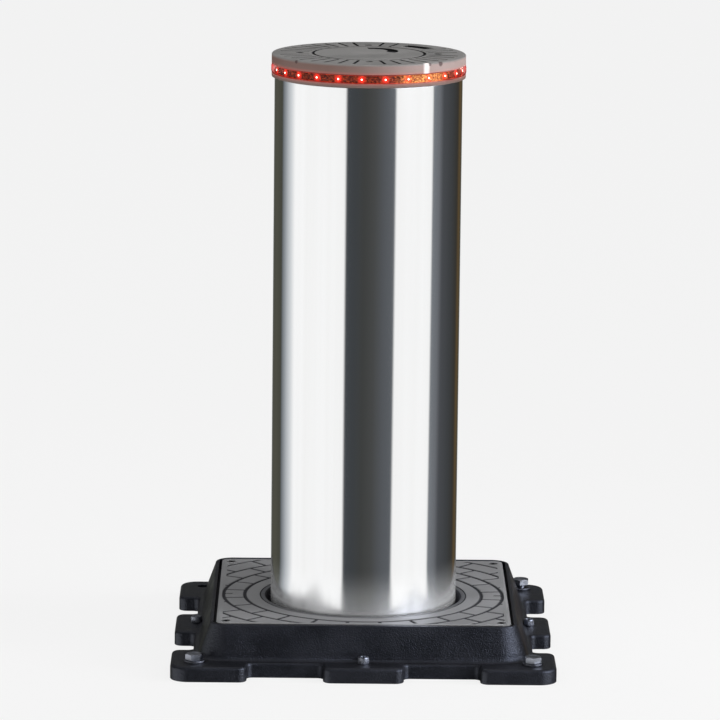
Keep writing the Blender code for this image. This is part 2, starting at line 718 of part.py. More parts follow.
def make_collar(finishes, lift):
    flange_top = plate_bottom - GAP
    flange_bottom = flange_top - COLLAR_FLANGE_THICKNESS
    profile = [
        (HOLE_RADIUS, PLATE_TOP - GAP),
        (HOLE_RADIUS, collar_bottom),
        (COLLAR_RADIUS, collar_bottom),
        (COLLAR_RADIUS, flange_bottom),
        (COLLAR_FLANGE, flange_bottom),
        (COLLAR_FLANGE, flange_top),
        (COLLAR_RADIUS, flange_top),
        (COLLAR_RADIUS, PLATE_TOP - GAP),
    ]
    turned("collar_ring", profile, finishes["collar"], lift)
    lip = TUBE_RADIUS + RUNNING_GAP
    turned("wiper_seal", ring_profile(lip, COLLAR_RADIUS, seal_bottom, seal_top), finishes["rubber"], lift)
    clamp_top = seal_bottom - GAP
    clamp = ring_profile(HOLE_RADIUS, COLLAR_RADIUS, clamp_top - SEAL_CLAMP_THICKNESS, clamp_top)
    turned("seal_clamp_ring", clamp, finishes["zinc"], lift, RING_STEPS)


# Fasteners of the frame
def make_corner_bolts(finishes, frame):
    # Three hex bolts: the back left hole is empty, and the back right bolt stands proud.
    seat = LUG_HEIGHT + GAP
    for name, spot in zip(CORNER_NAMES, corner_spots()):
        if name == "back_left":
            continue
        washer = ring_profile(BOLT_HOLE, WASHER_RADIUS, seat, seat + WASHER_THICKNESS)
        turned("corner_washer_" + name, washer, finishes["zinc"], frame, 16, centre=(*spot, 0))
        under_head = seat + WASHER_THICKNESS + GAP
        if name == "back_right":
            under_head += LOOSE_BOLT_RISE
        low, top = under_head - BOLT_LENGTH, under_head + BOLT_HEAD
        sections = hex_bolt(BOLT_RADIUS - GAP, BOLT_FLATS, low, under_head, top)
        turn = math.radians(BOLT_TURNS[name])
        screw("corner_bolt_" + name, sections, spot, finishes["zinc"], frame, turn=turn)


def make_cap_screws(finishes, frame):
    seat = LUG_HEIGHT + GAP
    top = seat + CAP_HEIGHT
    edge = 0.0010
    sections = [(CAP_SHANK, -FLANGE_THICKNESS, False), (CAP_SHANK, seat, False), (CAP_RADIUS, seat, False)]
    sections += [(CAP_RADIUS, top - edge, False), (CAP_RADIUS - edge, top, False)]
    sections += socket(CAP_KEY / math.cos(math.pi / 6), top, CAP_HEIGHT * 0.55)
    for name, spot in zip(SIDE_NAMES, middle_spots()):
        screw("mid_lug_screw_" + name, sections, spot, finishes["zinc"], frame)


# The casing in the ground
def make_casing(finishes, frame):
    top = -GAP
    casing = square_ring("casing", casing_inside, CASING_HALF, floor_top + GAP, top, finishes["zinc"], frame)
    boolean(casing, make_straps(frame), "UNION")
    boolean(casing, make_guide_brackets(frame), "UNION")
    for name, x, side, level, radius, wall, length in wall_pipes():
        across = Matrix.Rotation(math.radians(90), 4, "X")
        spread = 2 * CASING_WALL
        hole = disc_profile(radius + wall + 2 * GAP, -CASING_HALF - spread, -casing_inside + spread)
        if side < 0:
            hole = [(r, -h) for r, h in hole]
        boolean(casing, turned(name + "_hole", hole, None, frame, 16, centre=(x, 0, level), turn=across))
        start, end = casing_inside - CASING_WALL, CASING_HALF + length
        pipe = [(r, -side * y) for r, y in ring_profile(radius, radius + wall, start, end)]
        turned(name, pipe, finishes["pipe"], frame, 16, centre=(x, 0, level), turn=across)

    edge = CASING_HALF
    boxes("casing_base", [((-edge, -edge, casing_bottom), (edge, edge, floor_top))], finishes["zinc"], frame)

    # The flange round the casing's mouth, with the nuts of the corner bolts welded under it.
    low = top - FLANGE_THICKNESS
    flange = square_ring("casing_flange", CASING_HALF + GAP, FLANGE_HALF, low, top, finishes["zinc"], frame)
    boolean(flange, make_weld_nuts(frame), "UNION")
    nut_low = low - WELD_NUT - GAP
    boolean(flange, pegs("flange_bolt_ways", corner_spots(), BOLT_RADIUS + GAP, nut_low, top + GAP, frame))
    boolean(flange, pegs("flange_cap_ways", middle_spots(), CAP_SHANK + GAP, low - GAP, top + GAP, frame))


def square_ring(name, inner, outer, low, high, finish, parent):
    # A square frame of flat bar, or with a large height the four walls of a box.
    section = ring_profile(inner, outer, low, high)
    loops = [[(x, y, height) for x, y in four_ways(half, half)] for half, height in section]
    shape = bmesh.new()
    add_loft(shape, loops, ring=True)
    return finish_object(name, shape, finish, parent)


def wall_pipes():
    # name, x, side of the casing, height, inner radius, wall, length outside
    drain_level = floor_top + 2 * GAP + DRAIN_LIFT + DRAIN_WALL + DRAIN_RADIUS
    drain = ("drain_outlet", 0.0, -1, drain_level, DRAIN_RADIUS, DRAIN_WALL, DRAIN_LENGTH)
    conduit = ("conduit_socket", CONDUIT_X, 1, -CONDUIT_DROP, CONDUIT_RADIUS, CONDUIT_WALL, CONDUIT_LENGTH)
    return [drain, conduit]


def make_straps(frame):
    # Bent flats welded to the casing's left and right walls, which the concrete holds.
    shape = bmesh.new()
    for share in STRAP_LEVELS:
        level = floor_top * share
        for side in (-1, 1):
            start = CASING_HALF - CASING_WALL / 2
            leg = CASING_HALF + STRAP_THICKNESS
            reach = CASING_HALF + STRAP_REACH
            drop = level - STRAP_WIDTH - STRAP_REACH / 3
            outline = [
                (start, level),
                (leg, level),
                (leg, level - STRAP_WIDTH),
                (reach, drop),
                (reach, drop - STRAP_THICKNESS),
                (leg, level - STRAP_WIDTH - STRAP_THICKNESS),
                (start, level - STRAP_WIDTH - STRAP_THICKNESS),
            ]
            half = STRAP_WIDTH / 2
            add_loft(shape, [[(side * x, y, height) for x, height in outline] for y in (-half, half)])
    return finish_object("anchor_straps", shape, None, frame)


def make_guide_brackets(frame):
    # Angle irons welded to the front and rear walls, which carry the guide plate.
    shape = bmesh.new()
    top = guide_plate_bottom - GAP
    wall = casing_inside + CASING_WALL / 2
    inner = casing_inside - BRACKET_THICKNESS
    for x in (-BRACKET_X, BRACKET_X):
        for side in (-1, 1):
            outline = [
                (wall, top),
                (casing_inside - BRACKET_LEG, top),
                (casing_inside - BRACKET_LEG, top - BRACKET_THICKNESS),
                (inner, top - BRACKET_THICKNESS),
                (inner, top - BRACKET_LEG),
                (wall, top - BRACKET_LEG),
            ]
            ends = (x - BRACKET_LENGTH / 2, x + BRACKET_LENGTH / 2)
            add_loft(shape, [[(end, side * y, height) for y, height in outline] for end in ends])
    return finish_object("guide_brackets", shape, None, frame)


def make_weld_nuts(frame):
    shape = bmesh.new()
    corner = BOLT_FLATS / 2 / math.cos(math.pi / 6)
    top = -GAP - FLANGE_THICKNESS / 2
    low = -GAP - FLANGE_THICKNESS - WELD_NUT
    for x, y in corner_spots():
        add_screw(shape, [(corner, low, True), (corner, top, True)], (x, y, 0), steps=6)
    return finish_object("weld_nuts", shape, None, frame)


# The upper guide
def make_upper_guide(finishes, frame, lift):
    edge = casing_inside - GAP
    low, high = guide_plate_bottom, GUIDE_PLATE_TOP
    plate = boxes("guide_plate", [((-edge, -edge, low), (edge, edge, high))], finishes["zinc"], frame)
    bore = pegs("guide_bore", [(0, 0)], bush_radius + GAP, low - GAP, high + GAP, lift, TURN_STEPS)
    boolean(plate, bore)
    corner = casing_inside - CABLE_WAY_INSET
    cable_spots = [(corner, corner), (-corner, corner)]
    cable_ways = pegs("cable_ways", cable_spots, CABLE_WAY_RADIUS, low - GAP, high + GAP, frame)
    boolean(plate, cable_ways)
    bolts = bmesh.new()
    for x, y in four_ways(BRACKET_X, casing_inside - BRACKET_LEG / 2):
        sections = [(2 * GUIDE_BOLT, high - GAP, True), (2 * GUIDE_BOLT, high + GUIDE_BOLT, True)]
        add_screw(bolts, sections, (x, y, 0), steps=6)
    boolean(plate, finish_object("guide_plate_bolts", bolts, None, frame), "UNION")

    flange_bottom = GUIDE_PLATE_TOP + GAP
    flange_top = flange_bottom + BUSH_FLANGE_THICKNESS
    flange = bush_radius + BUSH_FLANGE
    profile = [
        (bush_inside, flange_top - BUSH_LENGTH),
        (bush_radius, flange_top - BUSH_LENGTH),
        (bush_radius, flange_bottom),
        (flange, flange_bottom),
        (flange, flange_top),
        (bush_inside, flange_top),
    ]
    return turned("guide_bush", profile, finishes["nylon"], lift)


# The cylinder and what it carries at its foot
def make_tube(finishes, lift):
    turned("tube", ring_profile(tube_inside, TUBE_RADIUS, tube_bottom, tube_top), finishes["stainless"], lift)

    top = foot_bottom + FOOT_RING_HEIGHT
    inner = TUBE_RADIUS - FOOT_RING_WALL
    foot = turned("foot_ring", ring_profile(inner, TUBE_RADIUS, foot_bottom, top), finishes["zinc"], lift)
    half = EAR_WIDTH / 2
    start, end = TUBE_RADIUS - FOOT_RING_WALL / 2, TUBE_RADIUS + EAR_REACH
    ears = []
    for side in (-1, 1):
        x_pair = sorted((side * start, side * end))
        ears.append(((x_pair[0], -half, foot_bottom), (x_pair[1], half, top)))
    ears.append(((-half / 2, start, foot_bottom), (half / 2, end, top)))
    boolean(foot, boxes("foot_ears", ears, None, lift), "UNION")
    web = RAIL_WEB / 2 + SHOE_GAP
    reach = casing_inside - RAIL_FLANGE - RAIL_REACH - SHOE_GAP
    notches = []
    for side in (-1, 1):
        x_pair = sorted((side * reach, side * (end + GAP)))
        notches.append(((x_pair[0], -web, foot_bottom - GAP), (x_pair[1], web, top + GAP)))
    boolean(foot, boxes("foot_notches", notches, None, lift))


def make_rails(finishes, lift):
    # T-shaped rails on the side walls, level with the cylinder's axis, and the shoes that straddle them.
    low, high = floor_top + GAP, guide_plate_bottom - GAP
    wall = casing_inside - GAP
    face = wall - RAIL_FLANGE
    tip = face - RAIL_REACH
    for name, side in (("left", -1), ("right", 1)):
        outline = [
            (wall, -RAIL_FLANGE_WIDTH / 2),
            (wall, RAIL_FLANGE_WIDTH / 2),
            (face, RAIL_FLANGE_WIDTH / 2),
            (face, RAIL_WEB / 2),
            (tip, RAIL_WEB / 2),
            (tip, -RAIL_WEB / 2),
            (face, -RAIL_WEB / 2),
            (face, -RAIL_FLANGE_WIDTH / 2),
        ]
        rail = bmesh.new()
        add_loft(rail, [[(side * x, y, height) for x, y in outline] for height in (low, high)])
        finish_object("guide_rail_" + name, rail, finishes["steel"], lift)

        inner = TUBE_RADIUS + GAP + 0.0004
        outer = tip + SHOE_OVERLAP
        slot = RAIL_WEB / 2 + SHOE_GAP
        half = SHOE_WIDTH / 2
        outline = [
            (inner, -half),
            (outer, -half),
            (outer, -slot),
            (tip - SHOE_GAP, -slot),
            (tip - SHOE_GAP, slot),
            (outer, slot),
            (outer, half),
            (inner, half),
        ]
        bottom = foot_bottom + FOOT_RING_HEIGHT + GAP
        shoe = bmesh.new()
        loops = [[(side * x, y, height) for x, y in outline] for height in (bottom, bottom + SHOE_HEIGHT)]
        add_loft(shoe, loops)
        finish_object("guide_shoe_" + name, shoe, finishes["nylon"], lift)


def make_stop(finishes, lift):
    # A rubber ring on the casing's floor that catches the foot ring, waisted so that it can bulge.
    low = floor_top + GAP
    top = low + STOP_HEIGHT
    inner, outer = TUBE_RADIUS - FOOT_RING_WALL + STOP_INSET, TUBE_RADIUS - STOP_INSET
    waist = STOP_INSET
    middle = (low + top) / 2
    profile = [(inner, low), (outer, low), (outer - waist, middle), (outer, top)]
    profile += [(inner, top), (inner + waist, middle)]
    stop = turned("bump_stop", profile, finishes["rubber"], lift, RING_STEPS)
    low_x, high_x = -TUBE_RADIUS, -TUBE_RADIUS + 2 * FOOT_RING_WALL
    notch = STOP_NOTCH / 2
    gate = ((low_x - notch, -notch, low - GAP), (high_x, notch + PIPE_LANE_Y, low + STOP_NOTCH))
    boolean(stop, boxes("stop_gate", [gate], None, lift))
    return stop


# The head
def make_head(finishes, lift):
    hub_outer = LENS_RADIUS - LENS_WALL - BOARD_SPACE
    hub_inner = hub_outer - HUB_WALL
    hub_top = light_top - GAP - GASKET_THICKNESS
    spigot = tube_inside - GAP
    ring = [
        (hub_inner, lip_bottom - SPIGOT_DEPTH),
        (spigot, lip_bottom - SPIGOT_DEPTH),
        (spigot, lip_bottom),
        (HEAD_RADIUS, lip_bottom),
        (HEAD_RADIUS, light_bottom - GAP),
        (hub_outer, light_bottom - GAP),
        (hub_outer, hub_top),
        (hub_inner, hub_top),
    ]
    turned("head_base_ring", ring, finishes["aluminium"], lift)

    board = hub_outer + GAP
    board_low, board_high = light_bottom, hub_top - GAP
    board_profile = ring_profile(board, board + BOARD_WALL, board_low, board_high)
    strip = turned("led_board", board_profile, finishes["board"], lift)

    lights = bmesh.new()
    seat = board + BOARD_WALL / 2
    middle = (board_low + board_high) / 2
    height = LIGHT_HEIGHT
    dome = [(0, 0), (LIGHT_RADIUS, 0), (LIGHT_RADIUS * 0.7, height), (0, height)]
    for i in range(LIGHT_COUNT):
        angle = math.radians(LIGHT_PHASE + 360 * i / LIGHT_COUNT)
        outward = Matrix.Rotation(angle, 4, "Z") @ Matrix.Rotation(math.pi / 2, 4, "Y")
        centre = (seat * math.cos(angle), seat * math.sin(angle), middle)
        add_turned(lights, dome, 6, centre, outward)
    boolean(strip, finish_object("leds", lights, None, lift), "UNION")

    lens_profile = ring_profile(LENS_RADIUS - LENS_WALL, LENS_RADIUS, light_bottom, hub_top - GAP)
    turned("led_lens", lens_profile, finishes["lens"], lift)
    gasket_low = hub_top + GAP
    gasket = ring_profile(hub_inner, LENS_RADIUS - LENS_WALL, gasket_low, gasket_low + GASKET_THICKNESS - GAP)
    turned("head_gasket", gasket, finishes["rubber"], lift, RING_STEPS)
    make_head_casting(finishes, lift)


def make_head_casting(finishes, lift):
    # The top disc with its rim over the light band and four posts that stand on the bridge.
    disc_bottom = light_top + GAP
    skin_bottom = head_top - HEAD_SKIN
    inner_rim = tube_inside - HUB_WALL
    profile = [
        (0, skin_bottom),
        (inner_rim, skin_bottom),
        (inner_rim, disc_bottom),
        (HEAD_RADIUS, disc_bottom),
        (HEAD_RADIUS, head_top - HEAD_EDGE),
        (HEAD_RADIUS - HEAD_EDGE, head_top),
        (0, head_top),
    ]
    head = turned("head_casting", profile, finishes["aluminium"], lift)
    post_low, post_high = bridge_top + GAP, head_top - HEAD_SKIN / 2
    posts = pegs("head_posts", screw_spots(), HEAD_POST_RADIUS, post_low, post_high, lift, 12)
    boolean(head, posts, "UNION")

    low, high = head_top - GROOVE_DEPTH, head_top + GROOVE_DEPTH
    circle = bmesh.new()
    half = GROOVE_WIDTH / 2
    add_turned(circle, ring_profile(HEAD_CIRCLE - half, HEAD_CIRCLE + half, low, high), 36)
    recess_low = head_top - ARC_RECESS_DEPTH
    arc = [math.radians(ARC_RECESS_FROM + (ARC_RECESS_TO - ARC_RECESS_FROM) * i / 6) for i in range(7)]
    add_arc_bar(circle, ARC_RECESS_RADIUS, arc, ARC_RECESS_WIDTH, recess_low, high)
    lift_arc = [math.radians(LIFT_RECESS_FROM + LIFT_RECESS_TURN * i / 8) for i in range(9)]
    handle = bmesh.new()
    add_arc_bar(handle, LIFT_RECESS_RADIUS, lift_arc, LIFT_RECESS_WIDTH, recess_low, high)
    bmesh.ops.translate(handle, verts=handle.verts, vec=(LIFT_RECESS_SIDE, LIFT_RECESS_SHIFT, 0))
    boolean(head, finish_object("head_circle_cutter", circle, None, lift))
    boolean(head, finish_object("head_lift_cutter", handle, None, lift))

    strokes = bmesh.new()
    for i in range(HEAD_STROKES):
        degrees = 360 * i / HEAD_STROKES
        if i % (HEAD_STROKES // 4) == 0 or ARC_RECESS_FROM - 3 < degrees < ARC_RECESS_TO + 3:
            continue
        start, end = HEAD_STROKE_START, HEAD_STROKE_END
        add_radial_bar(strokes, math.radians(degrees), start, end, HEAD_STROKE_WIDTH, low, high)
    boolean(head, finish_object("head_stroke_cutter", strokes, None, lift))

    holes = bmesh.new()
    seat, top = head_top - HEAD_SCREW_SEAT, head_top - 0.0012
    radius = HEAD_SCREW_RADIUS
    shank = radius * 0.55
    for x, y in screw_spots():
        hole = [(0, bridge_top), (shank + GAP, bridge_top), (shank + GAP, seat - GAP)]
        hole += [(radius + GAP, seat - GAP), (radius + GAP, high), (0, high)]
        add_turned(holes, hole, 12, (x, y, 0))
    boolean(head, finish_object("head_screw_holes", holes, None, lift))
    sections = [(shank, bridge_bottom, False), (shank, seat, False)]
    sections += [(radius, seat, False), (radius, top, False)]
    sections += socket(radius * 0.55, top, 0.0025)
    for name, spot in zip(SIDE_NAMES, screw_spots()):
        screw("head_screw_" + name, sections, spot, finishes["bolt"], lift)


def screw_spots():
    circle = HEAD_SCREW_CIRCLE
    return [(0, -circle), (circle, 0), (0, circle), (-circle, 0)]


# The ram
def make_ram(finishes, lift):
    disc = disc_profile(tube_inside - GAP, bridge_bottom, bridge_top)
    bridge = turned("lift_bridge", disc, finishes["zinc"], lift)
    windows = []
    for i in range(4):
        angle = math.pi / 4 + math.pi / 2 * i
        windows.append((BRIDGE_WINDOW_CIRCLE * math.cos(angle), BRIDGE_WINDOW_CIRCLE * math.sin(angle)))
    low, high = bridge_bottom - GAP, bridge_top + GAP
    boolean(bridge, pegs("bridge_windows", windows, BRIDGE_WINDOW, low, high, lift))
    boolean(bridge, pegs("bridge_bore", [(0, 0)], ROD_THREAD + GAP, low, high, lift, 24))
    tapped = HEAD_SCREW_RADIUS * 0.55 + GAP
    boolean(bridge, pegs("bridge_screw_holes", screw_spots(), tapped, low, high, lift, 12))

    shoulder = bridge_bottom - GAP
    piston_bottom = piston_top - PISTON_LENGTH
    nut_low = bridge_top + GAP
    thread_top = nut_low + ROD_NUT_HEIGHT + 0.006
    rod = [
        (0, piston_bottom),
        (PISTON_RADIUS, piston_bottom),
        (PISTON_RADIUS, piston_top),
        (ROD_RADIUS, piston_top),
        (ROD_RADIUS, shoulder),
        (ROD_THREAD, shoulder),
        (ROD_THREAD, thread_top),
        (0, thread_top),
    ]
    turned("ram_rod", rod, finishes["chrome"], lift, BARREL_STEPS)
    nut_top = nut_low + ROD_NUT_HEIGHT
    corner = ROD_NUT_FLATS / 2 / math.cos(math.pi / 6)
    nut = bmesh.new()
    add_screw(nut, [(corner, nut_low, True), (corner, nut_top, True)])
    rod_nut = finish_object("rod_nut", nut, finishes["zinc"], lift)
    boolean(rod_nut, pegs("nut_bore", [(0, 0)], ROD_THREAD + GAP, nut_low - GAP, nut_top + GAP, lift, 24))

    barrel = [
        (0, barrel_bottom),
        (barrel_radius, barrel_bottom),
        (barrel_radius, barrel_top),
        (barrel_inside, barrel_top),
        (barrel_inside, barrel_floor),
        (0, barrel_floor),
    ]
    barrel_piece = turned("ram_barrel", barrel, finishes["ram"], lift, BARREL_STEPS)
    across = Matrix.Rotation(math.pi / 2, 4, "X")
    eye_profile = disc_profile(EYE_RADIUS, -EYE_WIDTH / 2, EYE_WIDTH / 2)
    eye = turned("ram_eye", eye_profile, None, lift, 16, centre=(0, 0, pin_level), turn=across)
    boolean(barrel_piece, eye, "UNION")
    half = EYE_WIDTH / 2
    neck_top = barrel_bottom + BARREL_CAP / 2
    neck = boxes("ram_neck", [((-half, -half, pin_level), (half, half, neck_top))], None, lift)
    boolean(barrel_piece, neck, "UNION")
    port = boxes("ram_port", [port_box()], None, lift)
    boolean(barrel_piece, port, "UNION")
    eye_bore = disc_profile(PIN_RADIUS + GAP, -EYE_WIDTH, EYE_WIDTH)
    bore = turned("ram_eye_bore", eye_bore, None, lift, 20, centre=(0, 0, pin_level), turn=across)
    boolean(barrel_piece, bore)

    gland_inner = ROD_RADIUS + RUNNING_GAP
    collar_low = barrel_top + GAP
    gland = [
        (gland_inner, barrel_top - GLAND_DEPTH),
        (barrel_inside - GAP, barrel_top - GLAND_DEPTH),
        (barrel_inside - GAP, collar_low),
        (barrel_radius, collar_low),
        (barrel_radius, collar_low + GLAND_COLLAR),
        (gland_inner, collar_low + GLAND_COLLAR),
    ]
    turned("ram_gland", gland, finishes["brass"], lift, BARREL_STEPS)


def port_box():
    # The block on the barrel's left side that the pressure pipe ends in.
    half = 0.010
    middle = barrel_floor - BARREL_CAP / 2 + half
    outer = -barrel_radius - 0.010
    return (outer, -half, middle - half), (-barrel_radius * 0.8, half, middle + half)


def make_ram_foot(finishes, lift):
    half = CLEVIS_SPAN / 2
    low = floor_top + GAP
    plate_top = low + CLEVIS_PLATE
    ear_half = EYE_RADIUS + 0.004
    inner = EYE_WIDTH / 2 + GAP
    outer = inner + CLEVIS_EAR
    shape = bmesh.new()
    # Cross-section across the pin, a channel with a base plate wider than its ears.
    section = [
        (-half * 0.7, low),
        (half * 0.7, low),
        (half * 0.7, plate_top),
        (outer, plate_top),
        (outer, pin_level + EYE_RADIUS * 0.9),
        (inner, pin_level + EYE_RADIUS * 0.9),
        (inner, plate_top),
        (-inner, plate_top),
        (-inner, pin_level + EYE_RADIUS * 0.9),
        (-outer, pin_level + EYE_RADIUS * 0.9),
        (-outer, plate_top),
        (-half * 0.7, plate_top),
    ]
    add_loft(shape, [[(x, y, height) for y, height in section] for x in (-half, half)])
    foot = finish_object("ram_foot", shape, finishes["ram"], lift)
    trims = []
    for side in (-1, 1):
        x_pair = sorted((side * ear_half, side * (half + GAP)))
        trims.append(((x_pair[0], -outer - GAP, plate_top), (x_pair[1], outer + GAP, pin_level + EYE_RADIUS)))
    boolean(foot, boxes("ear_trims", trims, None, lift))
    across = Matrix.Rotation(math.pi / 2, 4, "X")
    bore = disc_profile(PIN_RADIUS + GAP, -half, half)
    boolean(foot, turned("clevis_bore", bore, None, lift, 20, centre=(0, 0, pin_level), turn=across))
    spots = four_ways(half * 0.78, half * 0.52)
    bolts = bmesh.new()
    for x, y in spots:
        corner = CLEVIS_BOLT * 1.8
        sections = [(corner, plate_top - GAP, True), (corner, plate_top + CLEVIS_BOLT, True)]
        add_screw(bolts, sections, (x, y, 0), steps=6)
    boolean(foot, finish_object("ram_foot_bolts", bolts, None, lift), "UNION")

    head_low = outer + GAP
    pin = [
        (0, -outer - 0.004),
        (PIN_RADIUS, -outer - 0.004),
        (PIN_RADIUS, head_low),
        (PIN_RADIUS + 0.003, head_low),
        (PIN_RADIUS + 0.003, head_low + 0.004),
        (0, head_low + 0.004),
    ]
    turned("ram_pin", pin, finishes["steel"], lift, 20, centre=(0, 0, pin_level), turn=across)


# The power pack in the rear left corner
def make_power_pack(finishes, frame):
    x, y = -PACK_SPOT, PACK_SPOT
    motor_low = PACK_TOP - MOTOR_LENGTH
    profile = [(0, motor_low), (PACK_RADIUS, motor_low), (PACK_RADIUS, motor_low + 0.012)]
    body = PACK_RADIUS - MOTOR_FIN
    start, end = motor_low + 0.012, PACK_TOP - 0.020
    pitch = (end - start) / MOTOR_FINS
    for i in range(MOTOR_FINS):
        base = start + pitch * i
        profile += [(body, base), (body, base + pitch / 2), (PACK_RADIUS, base + pitch / 2)]
        profile += [(PACK_RADIUS, base + pitch)]
    profile += [(PACK_RADIUS, PACK_TOP - 0.004), (PACK_RADIUS - 0.004, PACK_TOP), (0, PACK_TOP)]
    turned("motor", profile, finishes["motor"], frame, PACK_STEPS, centre=(x, y, 0))

    block_top = motor_low - GAP
    block_low = block_top - BLOCK_HEIGHT
    half = BLOCK_HALF
    shape = bmesh.new()
    add_box(shape, (x - half, y - half, block_low), (x + half, y + half, block_top))
    bmesh.ops.bevel(shape, geom=shape.edges[:], offset=0.002, segments=1, affect="EDGES")
    finish_object("pump_block", shape, finishes["aluminium"], frame)

    shelf_top = block_low - GAP
    shelf_low = shelf_top - PACK_SHELF
    wall = casing_inside - GAP
    edge = PACK_SPOT - PACK_RADIUS
    leg = 0.030
    back = wall - PACK_SHELF
    pairs = [((-wall, edge, shelf_low), (-edge, wall, shelf_top))]
    shelf = boxes("pack_bracket", pairs, finishes["zinc"], frame)
    legs = [((-wall, edge, shelf_low - leg), (-back, wall, shelf_top - GAP))]
    legs.append(((-back - GAP, back, shelf_low - leg), (-edge, wall, shelf_top - GAP)))
    boolean(shelf, boxes("bracket_leg_left", legs[:1], None, frame), "UNION")
    boolean(shelf, boxes("bracket_leg_back", legs[1:], None, frame), "UNION")
    hole = pegs("shelf_hole", [(x, y)], PACK_SHELF_HOLE, shelf_low - GAP, shelf_top + GAP, frame, PACK_STEPS)
    boolean(shelf, hole)

    neck = PACK_SHELF_HOLE - GAP
    tank_top = shelf_low - GAP
    tank_low = tank_top - TANK_LENGTH
    radius = PACK_RADIUS - TANK_INSET
    tank = [(0, tank_low), (radius - TANK_ROUND, tank_low)]
    for i in range(1, 3):
        angle = math.pi / 2 * i / 2
        across = radius - TANK_ROUND * (1 - math.sin(angle))
        tank.append((across, tank_low + TANK_ROUND * (1 - math.cos(angle))))
    tank += [(radius, tank_top), (neck, tank_top), (neck, shelf_top), (0, shelf_top)]
    turned("oil_tank", tank, finishes["tank"], frame, PACK_STEPS, centre=(x, y, 0))
    return block_low


def rounded_route(corners, radius, steps=4):
    # A smooth line through straight runs, each corner turned by an arc.
    route = [Vector(corners[0])]
    for before, corner, after in zip(corners, corners[1:], corners[2:]):
        corner = Vector(corner)
        one = (Vector(before) - corner).normalized()
        other = (Vector(after) - corner).normalized()
        turn = one.angle(other)
        reach = radius / math.tan(turn / 2)
        middle = corner + (one + other).normalized() * radius / math.sin(turn / 2)
        first = corner + one * reach - middle
        last = corner + other * reach - middle
        for i in range(steps + 1):
            route.append(middle + first.slerp(last, i / steps).normalized() * radius)
    route.append(Vector(corners[-1]))
    return route


def make_pipe(finishes, frame, block_low):
    low, high = port_box()
    port_level = (low[2] + high[2]) / 2
    axis_y = -AXIS_FORWARD
    floor = floor_top + PIPE_FLOOR
    rise_x = low[0] - 0.024
    port_y = block_low + BLOCK_HEIGHT / 2
    corners = [
        (-PIPE_LANE_X, PACK_SPOT - BLOCK_HALF - GAP, port_y),
        (-PIPE_LANE_X, PIPE_LANE_Y, port_y),
        (-PIPE_LANE_X, PIPE_LANE_Y, floor),
        (rise_x, axis_y, floor),
        (rise_x, axis_y, port_level),
        (low[0] - GAP, axis_y, port_level),
    ]
    line = bpy.data.curves.new("hydraulic_pipe", "CURVE")
    line.dimensions = "3D"
    line.bevel_depth = PIPE_RADIUS
    line.bevel_resolution = 1
    line.use_fill_caps = True
    points = rounded_route(corners, PIPE_BEND)
    spline = line.splines.new("POLY")
    spline.points.add(len(points) - 1)
    for place, point in zip(spline.points, points):
        place.co = (*point, 1.0)
    line.materials.append(finishes["steel"])
    pipe = bpy.data.objects.new("hydraulic_pipe", line)
    pipe.parent = frame
    bpy.context.scene.collection.objects.link(pipe)


# Wiring and sensing on the rear wall
def make_electrics(finishes, frame, lift):
    wall = casing_inside - GAP
    low = BOX_TOP - BOX_HEIGHT
    shape = bmesh.new()
    add_box(shape, (BOX_X - BOX_HALF, wall - BOX_DEPTH, low), (BOX_X + BOX_HALF, wall, BOX_TOP))
    bmesh.ops.bevel(shape, geom=shape.edges[:], offset=0.003, segments=1, affect="EDGES")
    box = finish_object("junction_box", shape, finishes["box"], frame)

    glands = bmesh.new()
    for i in (-1, 0, 1):
        place = (BOX_X + i * BOX_HALF * 0.6, wall - BOX_DEPTH / 2, 0)
        profile = [(0, low - 0.020), (0.006, low - 0.020), (0.008, low - 0.010), (0.010, low - 0.008)]
        profile += [(0.010, low + 0.005), (0, low + 0.005)]
        add_turned(glands, profile, 12, place)
    boolean(box, finish_object("box_glands", glands, None, frame), "UNION")

    strip_top = foot_bottom + 0.060
    strip_low = foot_bottom - STROKE - 0.030
    front = wall - STRIP_STANDOFF
    half = STRIP_WIDTH / 2
    section = [
        (-half - 0.012, wall),
        (-half - 0.012, wall - STRIP_THICKNESS),
        (-half, wall - STRIP_THICKNESS),
        (-half, front),
        (half, front),
        (half, wall - STRIP_THICKNESS),
        (half + 0.012, wall - STRIP_THICKNESS),
        (half + 0.012, wall),
        (half - STRIP_THICKNESS, wall),
        (half - STRIP_THICKNESS, front + STRIP_THICKNESS),
        (-half + STRIP_THICKNESS, front + STRIP_THICKNESS),
        (-half + STRIP_THICKNESS, wall),
    ]
    strip = bmesh.new()
    add_loft(strip, [[(x, y, height) for x, y in section] for height in (strip_low, strip_top)])
    finish_object("switch_strip", strip, finishes["zinc"], frame)

    face = front - GAP
    foot_top = foot_bottom + FOOT_RING_HEIGHT
    magnet_middle = foot_top + GAP + MAGNET_HEIGHT / 2
    for name, drop in (("limit_switch_upper", 0.0), ("limit_switch_lower", STROKE)):
        level = magnet_middle - drop
        corner = (-SWITCH_WIDTH / 2, face - SWITCH_DEPTH, level - SWITCH_HEIGHT / 2)
        boxes(name, [(corner, (SWITCH_WIDTH / 2, face, level + SWITCH_HEIGHT / 2))], finishes["box"], frame)
    magnet = disc_profile(MAGNET_RADIUS, foot_top + GAP, foot_top + GAP + MAGNET_HEIGHT)
    spot = (0, TUBE_RADIUS + EAR_REACH - MAGNET_RADIUS - 0.001, 0)
    turned("switch_magnet", magnet, finishes["steel"], lift, 16, centre=spot)


